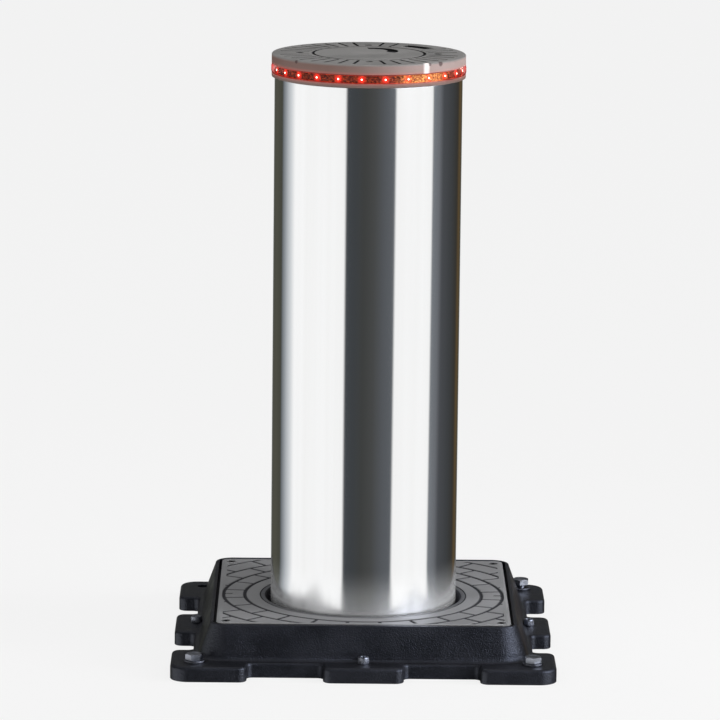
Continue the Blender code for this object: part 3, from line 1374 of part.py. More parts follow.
def main():
    clear_scene()
    finishes = {
        "casting": material("textured_black", (0.012, 0.013, 0.017), 0.55),
        "plate": material("grey_cast_iron", (0.155, 0.155, 0.160), 0.55, 0.3),
        "collar": material("dark_collar", (0.070, 0.072, 0.075), 0.5, 0.3),
        "stainless": material("stainless_steel", (0.62, 0.62, 0.62), 0.22, 1.0),
        "aluminium": material("cast_aluminium", (0.230, 0.222, 0.210), 0.5, 0.4),
        "lens": material("clear_lens", (0.90, 0.55, 0.45), 0.1, 0.0, 0.35),
        "board": material("light_board", (0.45, 0.10, 0.03), 0.5),
        "light": material("red_light", (0.95, 0.05, 0.04), 0.3),
        "zinc": material("zinc_plate", (0.45, 0.46, 0.47), 0.4, 1.0),
        "bolt": material("dark_screw", (0.06, 0.06, 0.065), 0.4, 0.8),
        "steel": material("bright_steel", (0.5, 0.5, 0.5), 0.3, 1.0),
        "chrome": material("hard_chrome", (0.75, 0.75, 0.76), 0.08, 1.0),
        "ram": material("ram_paint", (0.05, 0.07, 0.10), 0.4),
        "brass": material("gland_bronze", (0.55, 0.36, 0.14), 0.35, 1.0),
        "rubber": material("black_rubber", (0.015, 0.015, 0.016), 0.75),
        "nylon": material("white_nylon", (0.70, 0.69, 0.64), 0.5),
        "motor": material("motor_paint", (0.06, 0.07, 0.08), 0.45),
        "tank": material("tank_paint", (0.08, 0.09, 0.10), 0.4),
        "box": material("grey_plastic", (0.35, 0.36, 0.37), 0.5),
        "pipe": material("grey_pipe", (0.20, 0.20, 0.21), 0.5),
    }
    frame = empty("ground", (0, 0, ground_level))
    lift = empty("cylinder_axis", (0, -AXIS_FORWARD, 0), frame)
    make_frame(finishes, frame)
    make_plate(finishes, frame, lift)
    make_plate_screws(finishes, frame)
    make_collar(finishes, lift)
    make_corner_bolts(finishes, frame)
    make_cap_screws(finishes, frame)
    make_casing(finishes, frame)
    make_upper_guide(finishes, frame, lift)
    make_tube(finishes, lift)
    make_rails(finishes, lift)
    make_stop(finishes, lift)
    make_head(finishes, lift)
    make_ram(finishes, lift)
    make_ram_foot(finishes, lift)
    block_low = make_power_pack(finishes, frame)
    make_pipe(finishes, frame, block_low)
    make_electrics(finishes, frame, lift)


main()
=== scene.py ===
import json
import math
import bmesh
import bpy
from mathutils import Matrix, Vector


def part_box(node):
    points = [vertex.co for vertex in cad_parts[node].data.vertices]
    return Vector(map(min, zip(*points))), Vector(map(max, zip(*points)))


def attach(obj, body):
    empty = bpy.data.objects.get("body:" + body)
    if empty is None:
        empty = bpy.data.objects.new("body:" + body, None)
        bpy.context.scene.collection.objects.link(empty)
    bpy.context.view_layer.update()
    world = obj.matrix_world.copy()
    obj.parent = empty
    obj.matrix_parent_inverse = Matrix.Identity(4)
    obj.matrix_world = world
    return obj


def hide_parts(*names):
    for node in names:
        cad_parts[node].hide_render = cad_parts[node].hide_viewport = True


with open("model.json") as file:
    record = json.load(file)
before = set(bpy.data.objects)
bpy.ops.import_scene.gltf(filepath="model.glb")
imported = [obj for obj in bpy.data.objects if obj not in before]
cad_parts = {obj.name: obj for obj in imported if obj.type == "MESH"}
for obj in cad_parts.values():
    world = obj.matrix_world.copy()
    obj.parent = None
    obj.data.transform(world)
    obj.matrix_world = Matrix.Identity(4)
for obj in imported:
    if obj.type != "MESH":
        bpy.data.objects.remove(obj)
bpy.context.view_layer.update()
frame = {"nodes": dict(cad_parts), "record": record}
scene = bpy.context.scene
scene.view_settings.view_transform = "Standard"
print("frame loaded:", len(frame["nodes"]), "nodes")

# Places and clearances that everything else is measured from
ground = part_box("frame_casting")[0].z
plateLow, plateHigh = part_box("cover_plate")
tubeLow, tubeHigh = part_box("tube")
headLow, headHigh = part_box("head_casting")
lensLow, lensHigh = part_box("led_lens")
axis = Vector((0.0, (tubeLow.y + tubeHigh.y) / 2, 0.0))
sides = {"front": (0, -1), "right": (1, 0), "back": (0, 1), "left": (-1, 0)}
seatGap = 0.0003
cutPast = 0.001  # cutters run this far past the face that they cut
noiseRange = (0.3, 0.7)  # most of a noise lies between these


def polar(radius, angle, height=0.0):
    return Vector((radius * math.cos(angle), radius * math.sin(angle), height))


# Node building, for materials and for Geometry Nodes
def feed(node, inputs):
    # Links or sets a node's inputs. A colour may be given without its alpha.
    for key, value in inputs.items():
        socket = node.inputs[key]
        if isinstance(value, bpy.types.NodeSocket):
            node.id_data.links.new(value, socket)
        else:
            socket.default_value = (*value, 1.0) if socket.type == "RGBA" and len(value) == 3 else value


def add(tree, kind, inputs=None, out=0, **settings):
    # Adds a node, sets or links its inputs, and gives one of its outputs.
    node = tree.nodes.new(kind)
    for name, value in settings.items():
        setattr(node, name, value)
    feed(node, inputs or {})
    return node.outputs[out]


def maths(tree, operation, first, second=0.0, clamp=False):
    return add(tree, "ShaderNodeMath", {0: first, 1: second}, operation=operation, use_clamp=clamp)


def product(tree, first, second):
    return maths(tree, "MULTIPLY", first, second)


def vectorMaths(tree, operation, first, second=(0.0, 0.0, 0.0), out="Vector"):
    return add(tree, "ShaderNodeVectorMath", {0: first, 1: second}, out, operation=operation)


def remap(tree, value, low, high, atLow=0.0, atHigh=1.0, kind="LINEAR"):
    # Goes from atLow to atHigh while the value goes from low to high, and stays level outside.
    inputs = {"Value": value, "From Min": low, "From Max": high, "To Min": atLow, "To Max": atHigh}
    return add(tree, "ShaderNodeMapRange", inputs, interpolation_type=kind)


def spread(tree, cloud, low, high):
    return remap(tree, cloud, *noiseRange, low, high)


def noise(tree, place, scale, detail, rough=0.5):
    inputs = {"Vector": place, "Scale": scale, "Detail": detail, "Roughness": rough}
    return add(tree, "ShaderNodeTexNoise", inputs)


def blend(tree, share, first, second):
    return add(tree, "ShaderNodeMix", {0: share, 6: first, 7: second}, out=2, data_type="RGBA")


def objectPlace(tree):
    return add(tree, "ShaderNodeTexCoord", out="Object")


def split(tree, vector):
    return add(tree, "ShaderNodeSeparateXYZ", {0: vector}).node.outputs


def angleRound(tree, place):
    # The angle round the cylinder's axis, counted from the right.
    x, y, _ = split(tree, place)
    return maths(tree, "ARCTAN2", maths(tree, "SUBTRACT", y, axis.y), x)


def newGroup(name, inputs, outputs, kind="ShaderNodeTree"):
    # A node group with named sockets. Each is given by its first value, or by its type where it needs none.
    tree = bpy.data.node_groups.new(name, kind)
    for way, sockets in (("OUTPUT", outputs), ("INPUT", inputs)):
        for label, given in sockets.items():
            socketType = {float: "Float", int: "Int"}.get(type(given), given)
            socket = tree.interface.new_socket(label, in_out=way, socket_type="NodeSocket" + socketType)
            if socketType != given:
                socket.default_value = given
    return tree, tree.nodes.new("NodeGroupInput").outputs, tree.nodes.new("NodeGroupOutput")


def paint(*levels):
    # A colour as a screen shows it, 0 to 255, turned into scene values.
    shares = [level / 255 for level in levels]
    return tuple(s / 12.92 if s <= 0.04045 else ((s + 0.055) / 1.055) ** 2.4 for s in shares)


# Surface effects that several finishes share
def makeCastGrain():
    # The pebbled skin of a coated casting.
    tree, given, result = newGroup("castGrain", {"Size": 0.0016}, {"Height": "Float", "Fleck": "Float"})
    place = objectPlace(tree)
    scale = maths(tree, "DIVIDE", 1.0, given["Size"])
    inputs = {"Vector": place, "Scale": scale, "Smoothness": 0.5}
    pebbles = add(tree, "ShaderNodeTexVoronoi", inputs, feature="SMOOTH_F1")
    grit = noise(tree, place, scale, 4.0, 0.6)
    height = maths(tree, "ADD", product(tree, pebbles, -0.6), grit)
    feed(result, {"Height": height, "Fleck": remap(tree, grit, 0.52, 0.72)})
    return tree


def makeMottle():
    # Slow changes of colour over a surface, with finer ones in them.
    inputs = {"Scale": 12.0, "Dark": "Color", "Light": "Color"}
    tree, given, result = newGroup("mottle", inputs, {"Colour": "Color", "Mask": "Float"})
    mask = spread(tree, noise(tree, objectPlace(tree), given["Scale"], 6.0, 0.62), 0.0, 1.0)
    feed(result, {"Colour": blend(tree, mask, given["Dark"], given["Light"]), "Mask": mask})
    return tree


def makeDrawnLines():
    # Fine lines that run up a drawn or polished piece.
    inputs = {"Fineness": 900.0, "Stretch": 0.01}
    tree, given, result = newGroup("drawnLines", inputs, {"Height": "Float", "Band": "Float"})
    squash = add(tree, "ShaderNodeCombineXYZ", {0: 1.0, 1: 1.0, 2: given["Stretch"]})
    along = vectorMaths(tree, "MULTIPLY", objectPlace(tree), squash)
    band = noise(tree, along, product(tree, given["Fineness"], 0.04), 4.0)
    feed(result, {"Height": noise(tree, along, given["Fineness"], 3.0), "Band": band})
    return tree


def makeGrooveMask():
    # Dirt and shade in the grooves of an upper face: 0 on the face, 1 at Depth below Level, and only
    # inside Radius of the cylinder's axis.
    inputs = {"Level": 1.0, "Depth": 0.001, "Radius": 1.0}
    tree, given, result = newGroup("grooveMask", inputs, {"Mask": "Float"})
    place = objectPlace(tree)
    below = maths(tree, "SUBTRACT", given["Level"], split(tree, place)[2])
    deep = maths(tree, "DIVIDE", below, given["Depth"], clamp=True)
    flat = vectorMaths(tree, "MULTIPLY", vectorMaths(tree, "SUBTRACT", place, axis), (1.0, 1.0, 0.0))
    inside = maths(tree, "LESS_THAN", vectorMaths(tree, "LENGTH", flat, out="Value"), given["Radius"])
    feed(result, {"Mask": product(tree, deep, inside)})
    return tree


castGrain, mottle, drawnLines, grooveMask = makeCastGrain(), makeMottle(), makeDrawnLines(), makeGrooveMask()


def useGroup(tree, group, inputs, out):
    return add(tree, "ShaderNodeGroup", inputs, out, node_tree=group)


def newFinish(name, **plain):
    # A material with its shader. Values that are the same all over go straight onto the shader's sockets.
    material = bpy.data.materials.new(name)
    material.use_nodes = True
    shader = material.node_tree.nodes["Principled BSDF"]
    feed(shader, {label.replace("_", " "): value for label, value in plain.items()})
    return material, material.node_tree, shader


def bump(tree, height, distance):
    return add(tree, "ShaderNodeBump", {"Height": height, "Distance": distance}, out="Normal")


def castFinish(name, dark, light, rough, grain, depth, groove=None, **plain):
    # Coated castings: mottled paint over a pebbled skin, with dark groove bottoms where groove is given.
    material, tree, shader = newFinish(name, **plain)
    colour = useGroup(tree, mottle, {"Scale": 14.0, "Dark": dark, "Light": light}, "Colour")
    height = useGroup(tree, castGrain, {"Size": grain}, "Height")
    flecked = blend(tree, product(tree, height.node.outputs["Fleck"], 0.5), colour, light)
    roughness = spread(tree, colour.node.outputs["Mask"], rough - 0.05, rough + 0.05)
    if groove:
        mask = useGroup(tree, grooveMask, groove["where"], "Mask")
        flecked = blend(tree, mask, flecked, groove["colour"])
        roughness = maths(tree, "MAXIMUM", roughness, mask)
    feed(shader, {"Base Color": flecked, "Roughness": roughness, "Normal": bump(tree, height, depth)})
    return material


# the colour of the painted red glow that the lamps give the head and the ring under it
paintedRedGlow = (1.0, 0.10, 0.07)
headLook = {
    "sideFrom": 0.003,  # the side is what lies outside the rim less this
    "fade": (0.0035, 0.0005),  # below the top, where the side's colour fades into the top's
    "reddened": 0.006,  # height over the lamps up to which their red light is painted on the side
    "paintedRedShare": 0.35,
    "shaded": (-115, -40),  # degrees round the axis, where the side's painted shade goes from dark on the left to lit on the right
    "paintedHighlight": -54.5,  # where a highlight is painted on the side
    "paintedHighlightHalf": (0.5, 2.6),
    "nicks": ((-138.0, 0.0035), (-52.0, 0.0028), (-43.5, 0.0050)),  # degrees and radius of dark spots, painted as the shade of two notches and a seam in the rim
}


def headFinish(look):
    # The head's casting. Its side carries painted red light of the lamps with a faint painted red glow,
    # painted shade from dark on the left to light on the right, a painted highlight in one place, and dark
    # spots painted as the shade of notches and a seam.
    top, sideFrom = headHigh.z, headHigh.x - look["sideFrom"]
    where = {"Level": top - 0.0001, "Depth": 0.0002, "Radius": sideFrom}
    groove = {"where": where, "colour": paint(14, 14, 14)}
    colours = (paint(113, 112, 110), paint(134, 132, 130))
    material = castFinish("headCasting", *colours, rough=0.55, grain=0.0012, depth=0.00010, groove=groove)
    tree = material.node_tree
    shader = tree.nodes["Principled BSDF"]
    base = shader.inputs["Base Color"].links[0].from_socket
    place = objectPlace(tree)
    height, angle = split(tree, place)[2], angleRound(tree, place)
    low = remap(tree, height, top - look["fade"][0], top - look["fade"][1], 0.9, 0.0)
    # painted red light of the lamps, strongest on the side just over the band
    paintedLampRed = remap(tree, height, lensHigh.z, lensHigh.z + look["reddened"], look["paintedRedShare"], 0.0)
    # painted shade: the side darker towards the left and lighter towards the right front
    toRight = remap(tree, angle, *map(math.radians, look["shaded"]))
    shaded = blend(tree, toRight, paint(110, 80, 71), paint(157, 138, 134))
    side = blend(tree, paintedLampRed, blend(tree, low, base, shaded), paint(190, 95, 85))
    # a painted highlight on the side, right of the front
    toPaintedHighlight = maths(tree, "ABSOLUTE", maths(tree, "SUBTRACT", angle, math.radians(look["paintedHighlight"])))
    paintedHighlight = remap(tree, toPaintedHighlight, *map(math.radians, look["paintedHighlightHalf"]), 1.0, 0.0)
    side = blend(tree, paintedHighlight, side, paint(246, 236, 235))
    # dark spots painted as the shade in the rim's notches and seam
    for degrees, size in look["nicks"]:
        centre = axis + polar(headHigh.x, math.radians(degrees), top - 0.002)
        reach = vectorMaths(tree, "DISTANCE", place, centre, "Value")
        side = blend(tree, remap(tree, reach, size * 0.6, size, 0.8, 0.0), side, paint(58, 30, 30))
    inside = useGroup(tree, grooveMask, {"Level": 10.0, "Radius": sideFrom}, "Mask")
    outside = maths(tree, "SUBTRACT", 1.0, inside)
    # a faint painted red glow on the side over the band
    glow = product(tree, product(tree, paintedLampRed, outside), 0.35)
    colour = blend(tree, outside, base, side)
    feed(shader, {"Base Color": colour, "Emission Strength": glow, "Emission Color": paintedRedGlow})
    return material


def lipFinish():
    # The ring under the light band. Its reddish colour and a faint red emission just below the band are
    # painted red light of the lamps above.
    colours = (paint(104, 84, 78), paint(120, 97, 90))
    material = castFinish("lipCasting", *colours, rough=0.5, grain=0.0010, depth=0.00005)
    tree = material.node_tree
    height = split(tree, objectPlace(tree))[2]
    # painted red light of the lamps, as a glow just below the band
    paintedLampRed = remap(tree, height, lensLow.z - 0.004, lensLow.z, 0.0, 0.18)
    feed(tree.nodes["Principled BSDF"], {"Emission Strength": paintedLampRed, "Emission Color": paintedRedGlow})
    return material


def metalFinish(name, dark, light, rough, fineness, depth):
    # Bare or plated metal with fine drawn lines.
    material, tree, shader = newFinish(name, Metallic=1.0)
    colour = useGroup(tree, mottle, {"Scale": 30.0, "Dark": dark, "Light": light}, "Colour")
    lines = useGroup(tree, drawnLines, {"Fineness": fineness, "Stretch": 0.02}, "Height")
    roughness = spread(tree, lines.node.outputs["Band"], rough - 0.06, rough + 0.06)
    feed(shader, {"Base Color": colour, "Roughness": roughness, "Normal": bump(tree, lines, depth)})
    return material


def zincFinish(name, dark, light, rough):
    # Plated steel with the faint crystals of zinc.
    material, tree, shader = newFinish(name, Metallic=1.0)
    crystals = add(tree, "ShaderNodeTexVoronoi", {"Vector": objectPlace(tree), "Scale": 140.0}, "Color")
    patch = add(tree, "ShaderNodeSeparateColor", {0: crystals})
    skin = useGroup(tree, castGrain, {"Size": 0.0008}, "Height")
    roughness = spread(tree, patch, rough - 0.05, rough + 0.07)
    colour = blend(tree, patch, dark, light)
    feed(shader, {"Base Color": colour, "Roughness": roughness, "Normal": bump(tree, skin, 0.00002)})
    return material


def mouldedFinish(name, dark, light, rough):
    # Moulded plastic or rubber with a fine matt skin.
    material, tree, shader = newFinish(name)
    colour = useGroup(tree, mottle, {"Scale": 40.0, "Dark": dark, "Light": light}, "Colour")
    skin = useGroup(tree, castGrain, {"Size": 0.0005}, "Height")
    roughness = spread(tree, colour.node.outputs["Mask"], rough - 0.06, rough + 0.06)
    feed(shader, {"Base Color": colour, "Roughness": roughness, "Normal": bump(tree, skin, 0.00002)})
    return material


def stainlessFinish(foot):
    # Polished stainless pipe. The polish runs up the pipe and is not quite even. Towards the foot it is hazy
    # and leans upwards a little, so that the pipe shows the room there more than the plate in front of it.
    material, tree, shader = newFinish("stainlessPipe")
    lines = useGroup(tree, drawnLines, {"Fineness": 1500.0, "Stretch": 0.006}, "Height")
    band = lines.node.outputs["Band"]
    height = split(tree, objectPlace(tree))[2]
    haze = remap(tree, height, plateHigh.z, plateHigh.z + foot["height"], 1.0, 0.0, "SMOOTHSTEP")
    cloudy = product(tree, haze, spread(tree, band, 0.8, 1.15))
    colour = blend(tree, band, (0.70, 0.70, 0.695), (0.78, 0.785, 0.79))
    matt = product(tree, cloudy, foot["matt"])
    rough = product(tree, cloudy, foot["rough"])
    lean = add(tree, "ShaderNodeCombineXYZ", {2: product(tree, haze, foot["lean"])})
    leaning = vectorMaths(tree, "ADD", bump(tree, lines, 0.0000012), lean)
    feed(shader, {
        "Base Color": blend(tree, haze, colour, (0.86, 0.865, 0.87)),
        "Metallic": maths(tree, "SUBTRACT", 1.0, matt),
        "Roughness": maths(tree, "ADD", spread(tree, band, 0.06, 0.11), rough),
        "Normal": vectorMaths(tree, "NORMALIZE", leaning),
    })
    return material


lightRow = {
    "count": 25,
    "phase": -94.6,  # degrees round the axis, the lamp beside the front
    "seat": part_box("led_board")[1].x,
    "middle": (lensLow.z + lensHigh.z) / 2,
    "edge": (lensHigh.z - lensLow.z) / 2,
    # where the strip's painted gold highlight lies, in degrees round the axis, and its half width
    "paintedGlintMiddle": -53.0,
    "paintedGlintHalf": 22.0,
    # the painted red halo round each lamp, and the strength of the strip's painted glow
    "paintedHalo": 0.0085,
    "glow": 1.3,
    "lampGlow": 7.0,
    "stripFront": 0.0013,  # behind the seat, as is the back
    "stripBack": 0.0023,
    "lensWall": 0.0035,
    "lensBulge": 0.0006,
    "lensLevel": 0.003,  # half height of its level middle
    "lensRound": 0.0005,
    "lensEdge": 0.0003,
}


def boardFinish(light):
    # Copper strip under red lamps: brown with fine lines, a painted gold highlight where a window would light
    # it, and a painted red glow round each lamp, along its edges and faintly all over.
    material, tree, shader = newFinish(
        "lightStrip", Roughness=0.42, Metallic=0.2, Emission_Strength=light["glow"])
    place = objectPlace(tree)
    height, angle = split(tree, place)[2], angleRound(tree, place)
    step = math.tau / light["count"]
    turns = maths(tree, "DIVIDE", maths(tree, "SUBTRACT", angle, math.radians(light["phase"])), step)
    share = add(tree, "ShaderNodeMath", {0: turns, 1: 0.5, 2: -0.5}, operation="WRAP")
    across = product(tree, share, step * light["seat"])
    up = maths(tree, "SUBTRACT", height, light["middle"])
    away = vectorMaths(tree, "LENGTH", add(tree, "ShaderNodeCombineXYZ", {0: across, 1: up}), out="Value")
    # painted red glow round each lamp and along the strip's upper and lower edges
    paintedHalo = remap(tree, away, 0.0, light["paintedHalo"], 1.0, 0.0, "SMOOTHSTEP")
    edge = remap(tree, maths(tree, "ABSOLUTE", up), light["edge"] - 0.0008, light["edge"], 0.0, 0.5)
    along = product(tree, angle, light["seat"] * 0.25)
    unrolled = add(tree, "ShaderNodeCombineXYZ", {0: along, 1: height})
    lines = noise(tree, unrolled, 900.0, 3.0)
    flakes = add(tree, "ShaderNodeTexVoronoi", {"Vector": place, "Scale": 380.0}, "Color")
    flake = add(tree, "ShaderNodeSeparateColor", {0: flakes})
    grain = product(tree, flake, remap(tree, lines, 0.42, 0.6))
    brown = blend(tree, grain, paint(44, 9, 3), paint(182, 78, 34))
    # a painted gold highlight on the strip, right of the front
    paintedGlint = blend(tree, grain, paint(122, 66, 20), paint(244, 198, 104))
    toPaintedGlint = maths(tree, "ABSOLUTE", maths(tree, "SUBTRACT", angle, math.radians(light["paintedGlintMiddle"])))
    half = math.radians(light["paintedGlintHalf"])
    copper = blend(tree, remap(tree, toPaintedGlint, half * 0.45, half, 1.0, 0.0), brown, paintedGlint)
    # a faint painted glow of the strip's own colour all over
    scattered = vectorMaths(tree, "MULTIPLY", copper, (0.32, 0.32, 0.32))
    red = blend(tree, maths(tree, "MAXIMUM", paintedHalo, edge), scattered, (1.0, 0.035, 0.02))
    feed(shader, {"Base Color": copper, "Emission Color": red, "Normal": bump(tree, flake, 0.0001)})
    return material


def lensFinish():
    # A clear band with a red tint and a painted red glow in it, which only show where the eye looks along the
    # band.
    material, tree, _ = newFinish(
        "clearBand", Base_Color=(1.0, 0.95, 0.93), Roughness=0.03, IOR=1.02, Transmission_Weight=1.0)
    tint = add(tree, "ShaderNodeVolumeAbsorption", {"Color": (0.97, 0.15, 0.12), "Density": 45.0})
    # a painted red glow inside the band, standing in for the lamps' light
    glow = add(tree, "ShaderNodeEmission", {"Color": (1.0, 0.06, 0.05), "Strength": 3.5})
    feed(tree.nodes["Material Output"], {"Volume": add(tree, "ShaderNodeAddShader", {0: tint, 1: glow})})
    return material


def lampFinish(glow):
    return newFinish(
        "redLamp", Base_Color=(1.0, 0.6, 0.5), Roughness=0.2,
        Emission_Color=(1.0, 0.62, 0.52), Emission_Strength=glow)[0]


plateGroove = {
    "where": {"Level": plateHigh.z - 0.0002, "Depth": 0.0006, "Radius": 1.0},
    "colour": paint(40, 40, 43),
}
finishes = {
    "casting": castFinish(
        "blackCasting", (0.0030, 0.0032, 0.0043), (0.0105, 0.0108, 0.0138), rough=0.345, grain=0.0023,
        depth=0.00055, Specular_Tint=(0.78, 0.84, 1.0)),
    "plate": castFinish(
        "greyCasting", (0.160, 0.161, 0.165), (0.200, 0.201, 0.206), rough=0.5, grain=0.0011,
        depth=0.00006, groove=plateGroove, Specular_IOR_Level=0.35),
    "collar": castFinish(
        "collarCasting", (0.080, 0.082, 0.088), (0.095, 0.097, 0.104), rough=0.5, grain=0.0009,
        depth=0.00003, groove=plateGroove, Specular_IOR_Level=0.4),
    "aluminium": headFinish(headLook),
    "lip": lipFinish(),
    "stainless": stainlessFinish({"height": 0.070, "matt": 0.20, "rough": 0.13, "lean": 0.115}),
    "lens": lensFinish(),
    "board": boardFinish(lightRow),
    "lamp": lampFinish(lightRow["lampGlow"]),
    "lampBody": mouldedFinish("lampBody", (0.20, 0.05, 0.02), (0.34, 0.12, 0.05), 0.4),
    "zinc": zincFinish("galvanised", (0.38, 0.39, 0.4), (0.55, 0.56, 0.57), 0.42),
    "brightZinc": zincFinish("brightZinc", (0.24, 0.255, 0.29), (0.40, 0.415, 0.46), 0.34),
    "dullZinc": zincFinish("dullZinc", (0.10, 0.105, 0.12), (0.19, 0.195, 0.22), 0.5),
    "bolt": metalFinish("darkScrew", (0.04, 0.04, 0.044), (0.09, 0.09, 0.095), 0.35, 800.0, 0.00001),
    "steel": metalFinish("brightSteel", (0.45, 0.45, 0.46), (0.6, 0.6, 0.61), 0.3, 900.0, 0.00001),
    "chrome": metalFinish("platedRod", (0.7, 0.7, 0.71), (0.78, 0.78, 0.79), 0.12, 1200.0, 0.000003),
    "bronze": metalFinish("turnedBronze", (0.5, 0.3, 0.11), (0.62, 0.4, 0.17), 0.3, 800.0, 0.00001),
    "ram": castFinish("ramPaint", (0.03, 0.05, 0.09), (0.045, 0.07, 0.115), 0.35, 0.002, 0.00006),
    "motor": castFinish("motorPaint", (0.05, 0.06, 0.07), (0.07, 0.08, 0.09), 0.42, 0.0018, 0.00008),
    "tank": castFinish("tankPaint", (0.07, 0.08, 0.09), (0.095, 0.105, 0.115), 0.4, 0.003, 0.00004),
    "rubber": mouldedFinish("blackRubber", (0.01, 0.01, 0.011), (0.02, 0.02, 0.021), 0.75),
    "nylon": mouldedFinish("naturalNylon", (0.6, 0.58, 0.52), (0.7, 0.69, 0.63), 0.5),
    "box": mouldedFinish("greyBox", (0.3, 0.31, 0.32), (0.36, 0.37, 0.38), 0.5),
    "pipe": mouldedFinish("greyPipe", (0.17, 0.17, 0.18), (0.22, 0.22, 0.23), 0.45),
}
for part in frame["record"]["subparts"]:
    materials = frame["nodes"][part["node"]].data.materials
    materials.clear()
    materials.append(finishes["lip" if part["node"] == "head_base_ring" else part["material_slot"]])
print("finishes made:", len(finishes))


# Mesh building
def loft(shape, loops, ring=False, capped=True):
    # Joins loops of points with strips of faces. A ring's last loop joins its first. Other ends are capped.
    rows = [[shape.verts.new(point) for point in loop] for loop in loops]
    for one, other in zip(rows, rows[1:] + (rows[:1] if ring else [])):
        for i in range(len(one)):
            j = (i + 1) % len(one)
            shape.faces.new((one[i], one[j], other[j], other[i]))
    if capped and not ring:
        shape.faces.new(list(reversed(rows[0])))
        shape.faces.new(rows[-1])


def turn(shape, profile, steps, centre=axis, place=None):
    # Turns a closed profile of (radius, height) about the vertical through a centre.
    rows = []
    for radius, height in profile:
        angles = [math.tau * i / steps for i in range(steps if radius > 1e-6 else 1)]
        points = [polar(radius, angle, height) for angle in angles]
        if place:
            points = [place @ point for point in points]
        rows.append([shape.verts.new(point + centre) for point in points])
    for one, other in zip(rows, rows[1:] + rows[:1]):
        if len(one) == 1 and len(other) == 1:
            continue
        for i in range(steps):
            j = (i + 1) % steps
            corners = [one[i % len(one)], one[j % len(one)], other[j % len(other)], other[i % len(other)]]
            shape.faces.new([c for n, c in enumerate(corners) if c not in corners[:n]])


def solid(points):
    # Closes the outline of a turned solid on its axis.
    return [(0, points[0][1]), *points, (0, points[-1][1])]


def brokenEdge(radius, top, size):
    # The upper end of a cutter whose hole has a broken edge.
    return [(radius, top - size), (radius + size, top), (radius + size, top + cutPast)]


def rounded(profile, radius, steps=3):
    # Replaces the sharp corners of a closed profile by arcs. A point may carry its own radius.
    result = []
    for i, point in enumerate(profile):
        here = Vector(point[:2])
        size = point[2] if len(point) > 2 else radius
        before, after = Vector(profile[i - 1][:2]) - here, Vector(profile[(i + 1) % len(profile)][:2]) - here
        toBefore, toAfter = before.normalized(), after.normalized()
        half = toBefore.angle(toAfter) / 2
        if size <= 0 or here.x < 1e-6 or half > math.radians(88):
            result.append(tuple(here))
            continue
        reach = min(size / math.tan(half), before.length * 0.45, after.length * 0.45)
        middle = here + (toBefore + toAfter).normalized() * (reach / math.cos(half))
        start, end = here + toBefore * reach - middle, here + toAfter * reach - middle
        for n in range(steps + 1):
            result.append(tuple(middle + start.lerp(end, n / steps).normalized() * start.length))
    return result


def quarterArc(steps):
    # The sines and cosines from 0 to a right angle.
    angles = [math.pi / 2 * i / steps for i in range(steps + 1)]
    return [(math.sin(angle), math.cos(angle)) for angle in angles]


def roundedSquare(half, corner, height, steps):
    loop = []
    for quarter in range(4):
        start = math.pi / 2 * quarter
        middle = polar((half - corner) * math.sqrt(2), start + math.pi / 4)
        for i in range(steps + 1):
            loop.append(middle + polar(corner, start + math.pi / 2 * i / steps, height))
    return loop


def shadeRound(mesh, smooth):
    mesh.shade_smooth()
    mesh.set_sharp_from_angle(angle=math.radians(smooth))


def newPiece(name, shape, finish=None, smooth=35.0):
    # Turns a shape into a shaded piece with one finish.
    bmesh.ops.remove_doubles(shape, verts=shape.verts, dist=1e-6)
    bmesh.ops.recalc_face_normals(shape, faces=shape.faces)
    mesh = bpy.data.meshes.new(name)
    shape.to_mesh(mesh)
    shape.free()
    shadeRound(mesh, smooth)
    if finish:
        mesh.materials.append(finish)
    piece = bpy.data.objects.new(name, mesh)
    scene.collection.objects.link(piece)
    return piece


def settle(piece, smooth=35.0):
    # Turns what the modifiers make into the piece's plain mesh.
    depsgraph = bpy.context.evaluated_depsgraph_get()
    mesh = bpy.data.meshes.new_from_object(piece.evaluated_get(depsgraph), depsgraph=depsgraph)
    piece.modifiers.clear()
    piece.data = mesh
    mesh.name = piece.name
    shadeRound(mesh, smooth)


def combine(piece, shape, operation="DIFFERENCE"):
    # Cuts a shape out of a piece, or joins it on.
    other = newPiece("other", shape)
    modifier = piece.modifiers.new("combine", "BOOLEAN")
    modifier.operation = operation
    modifier.solver = "EXACT"
    modifier.object = other
    settle(piece)
    bpy.data.objects.remove(other)


def keep(piece, body, slot, *nodes):
    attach(piece, body)
    if nodes:
        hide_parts(*nodes)


def turnedPiece(name, profile, finish, steps=192, centre=axis):
    shape = bmesh.new()
    turn(shape, profile, steps, centre)
    return newPiece(name, shape, finish)


def centreOf(node):
    low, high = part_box(node)
    return Vector(((low.x + high.x) / 2, (low.y + high.y) / 2, 0))


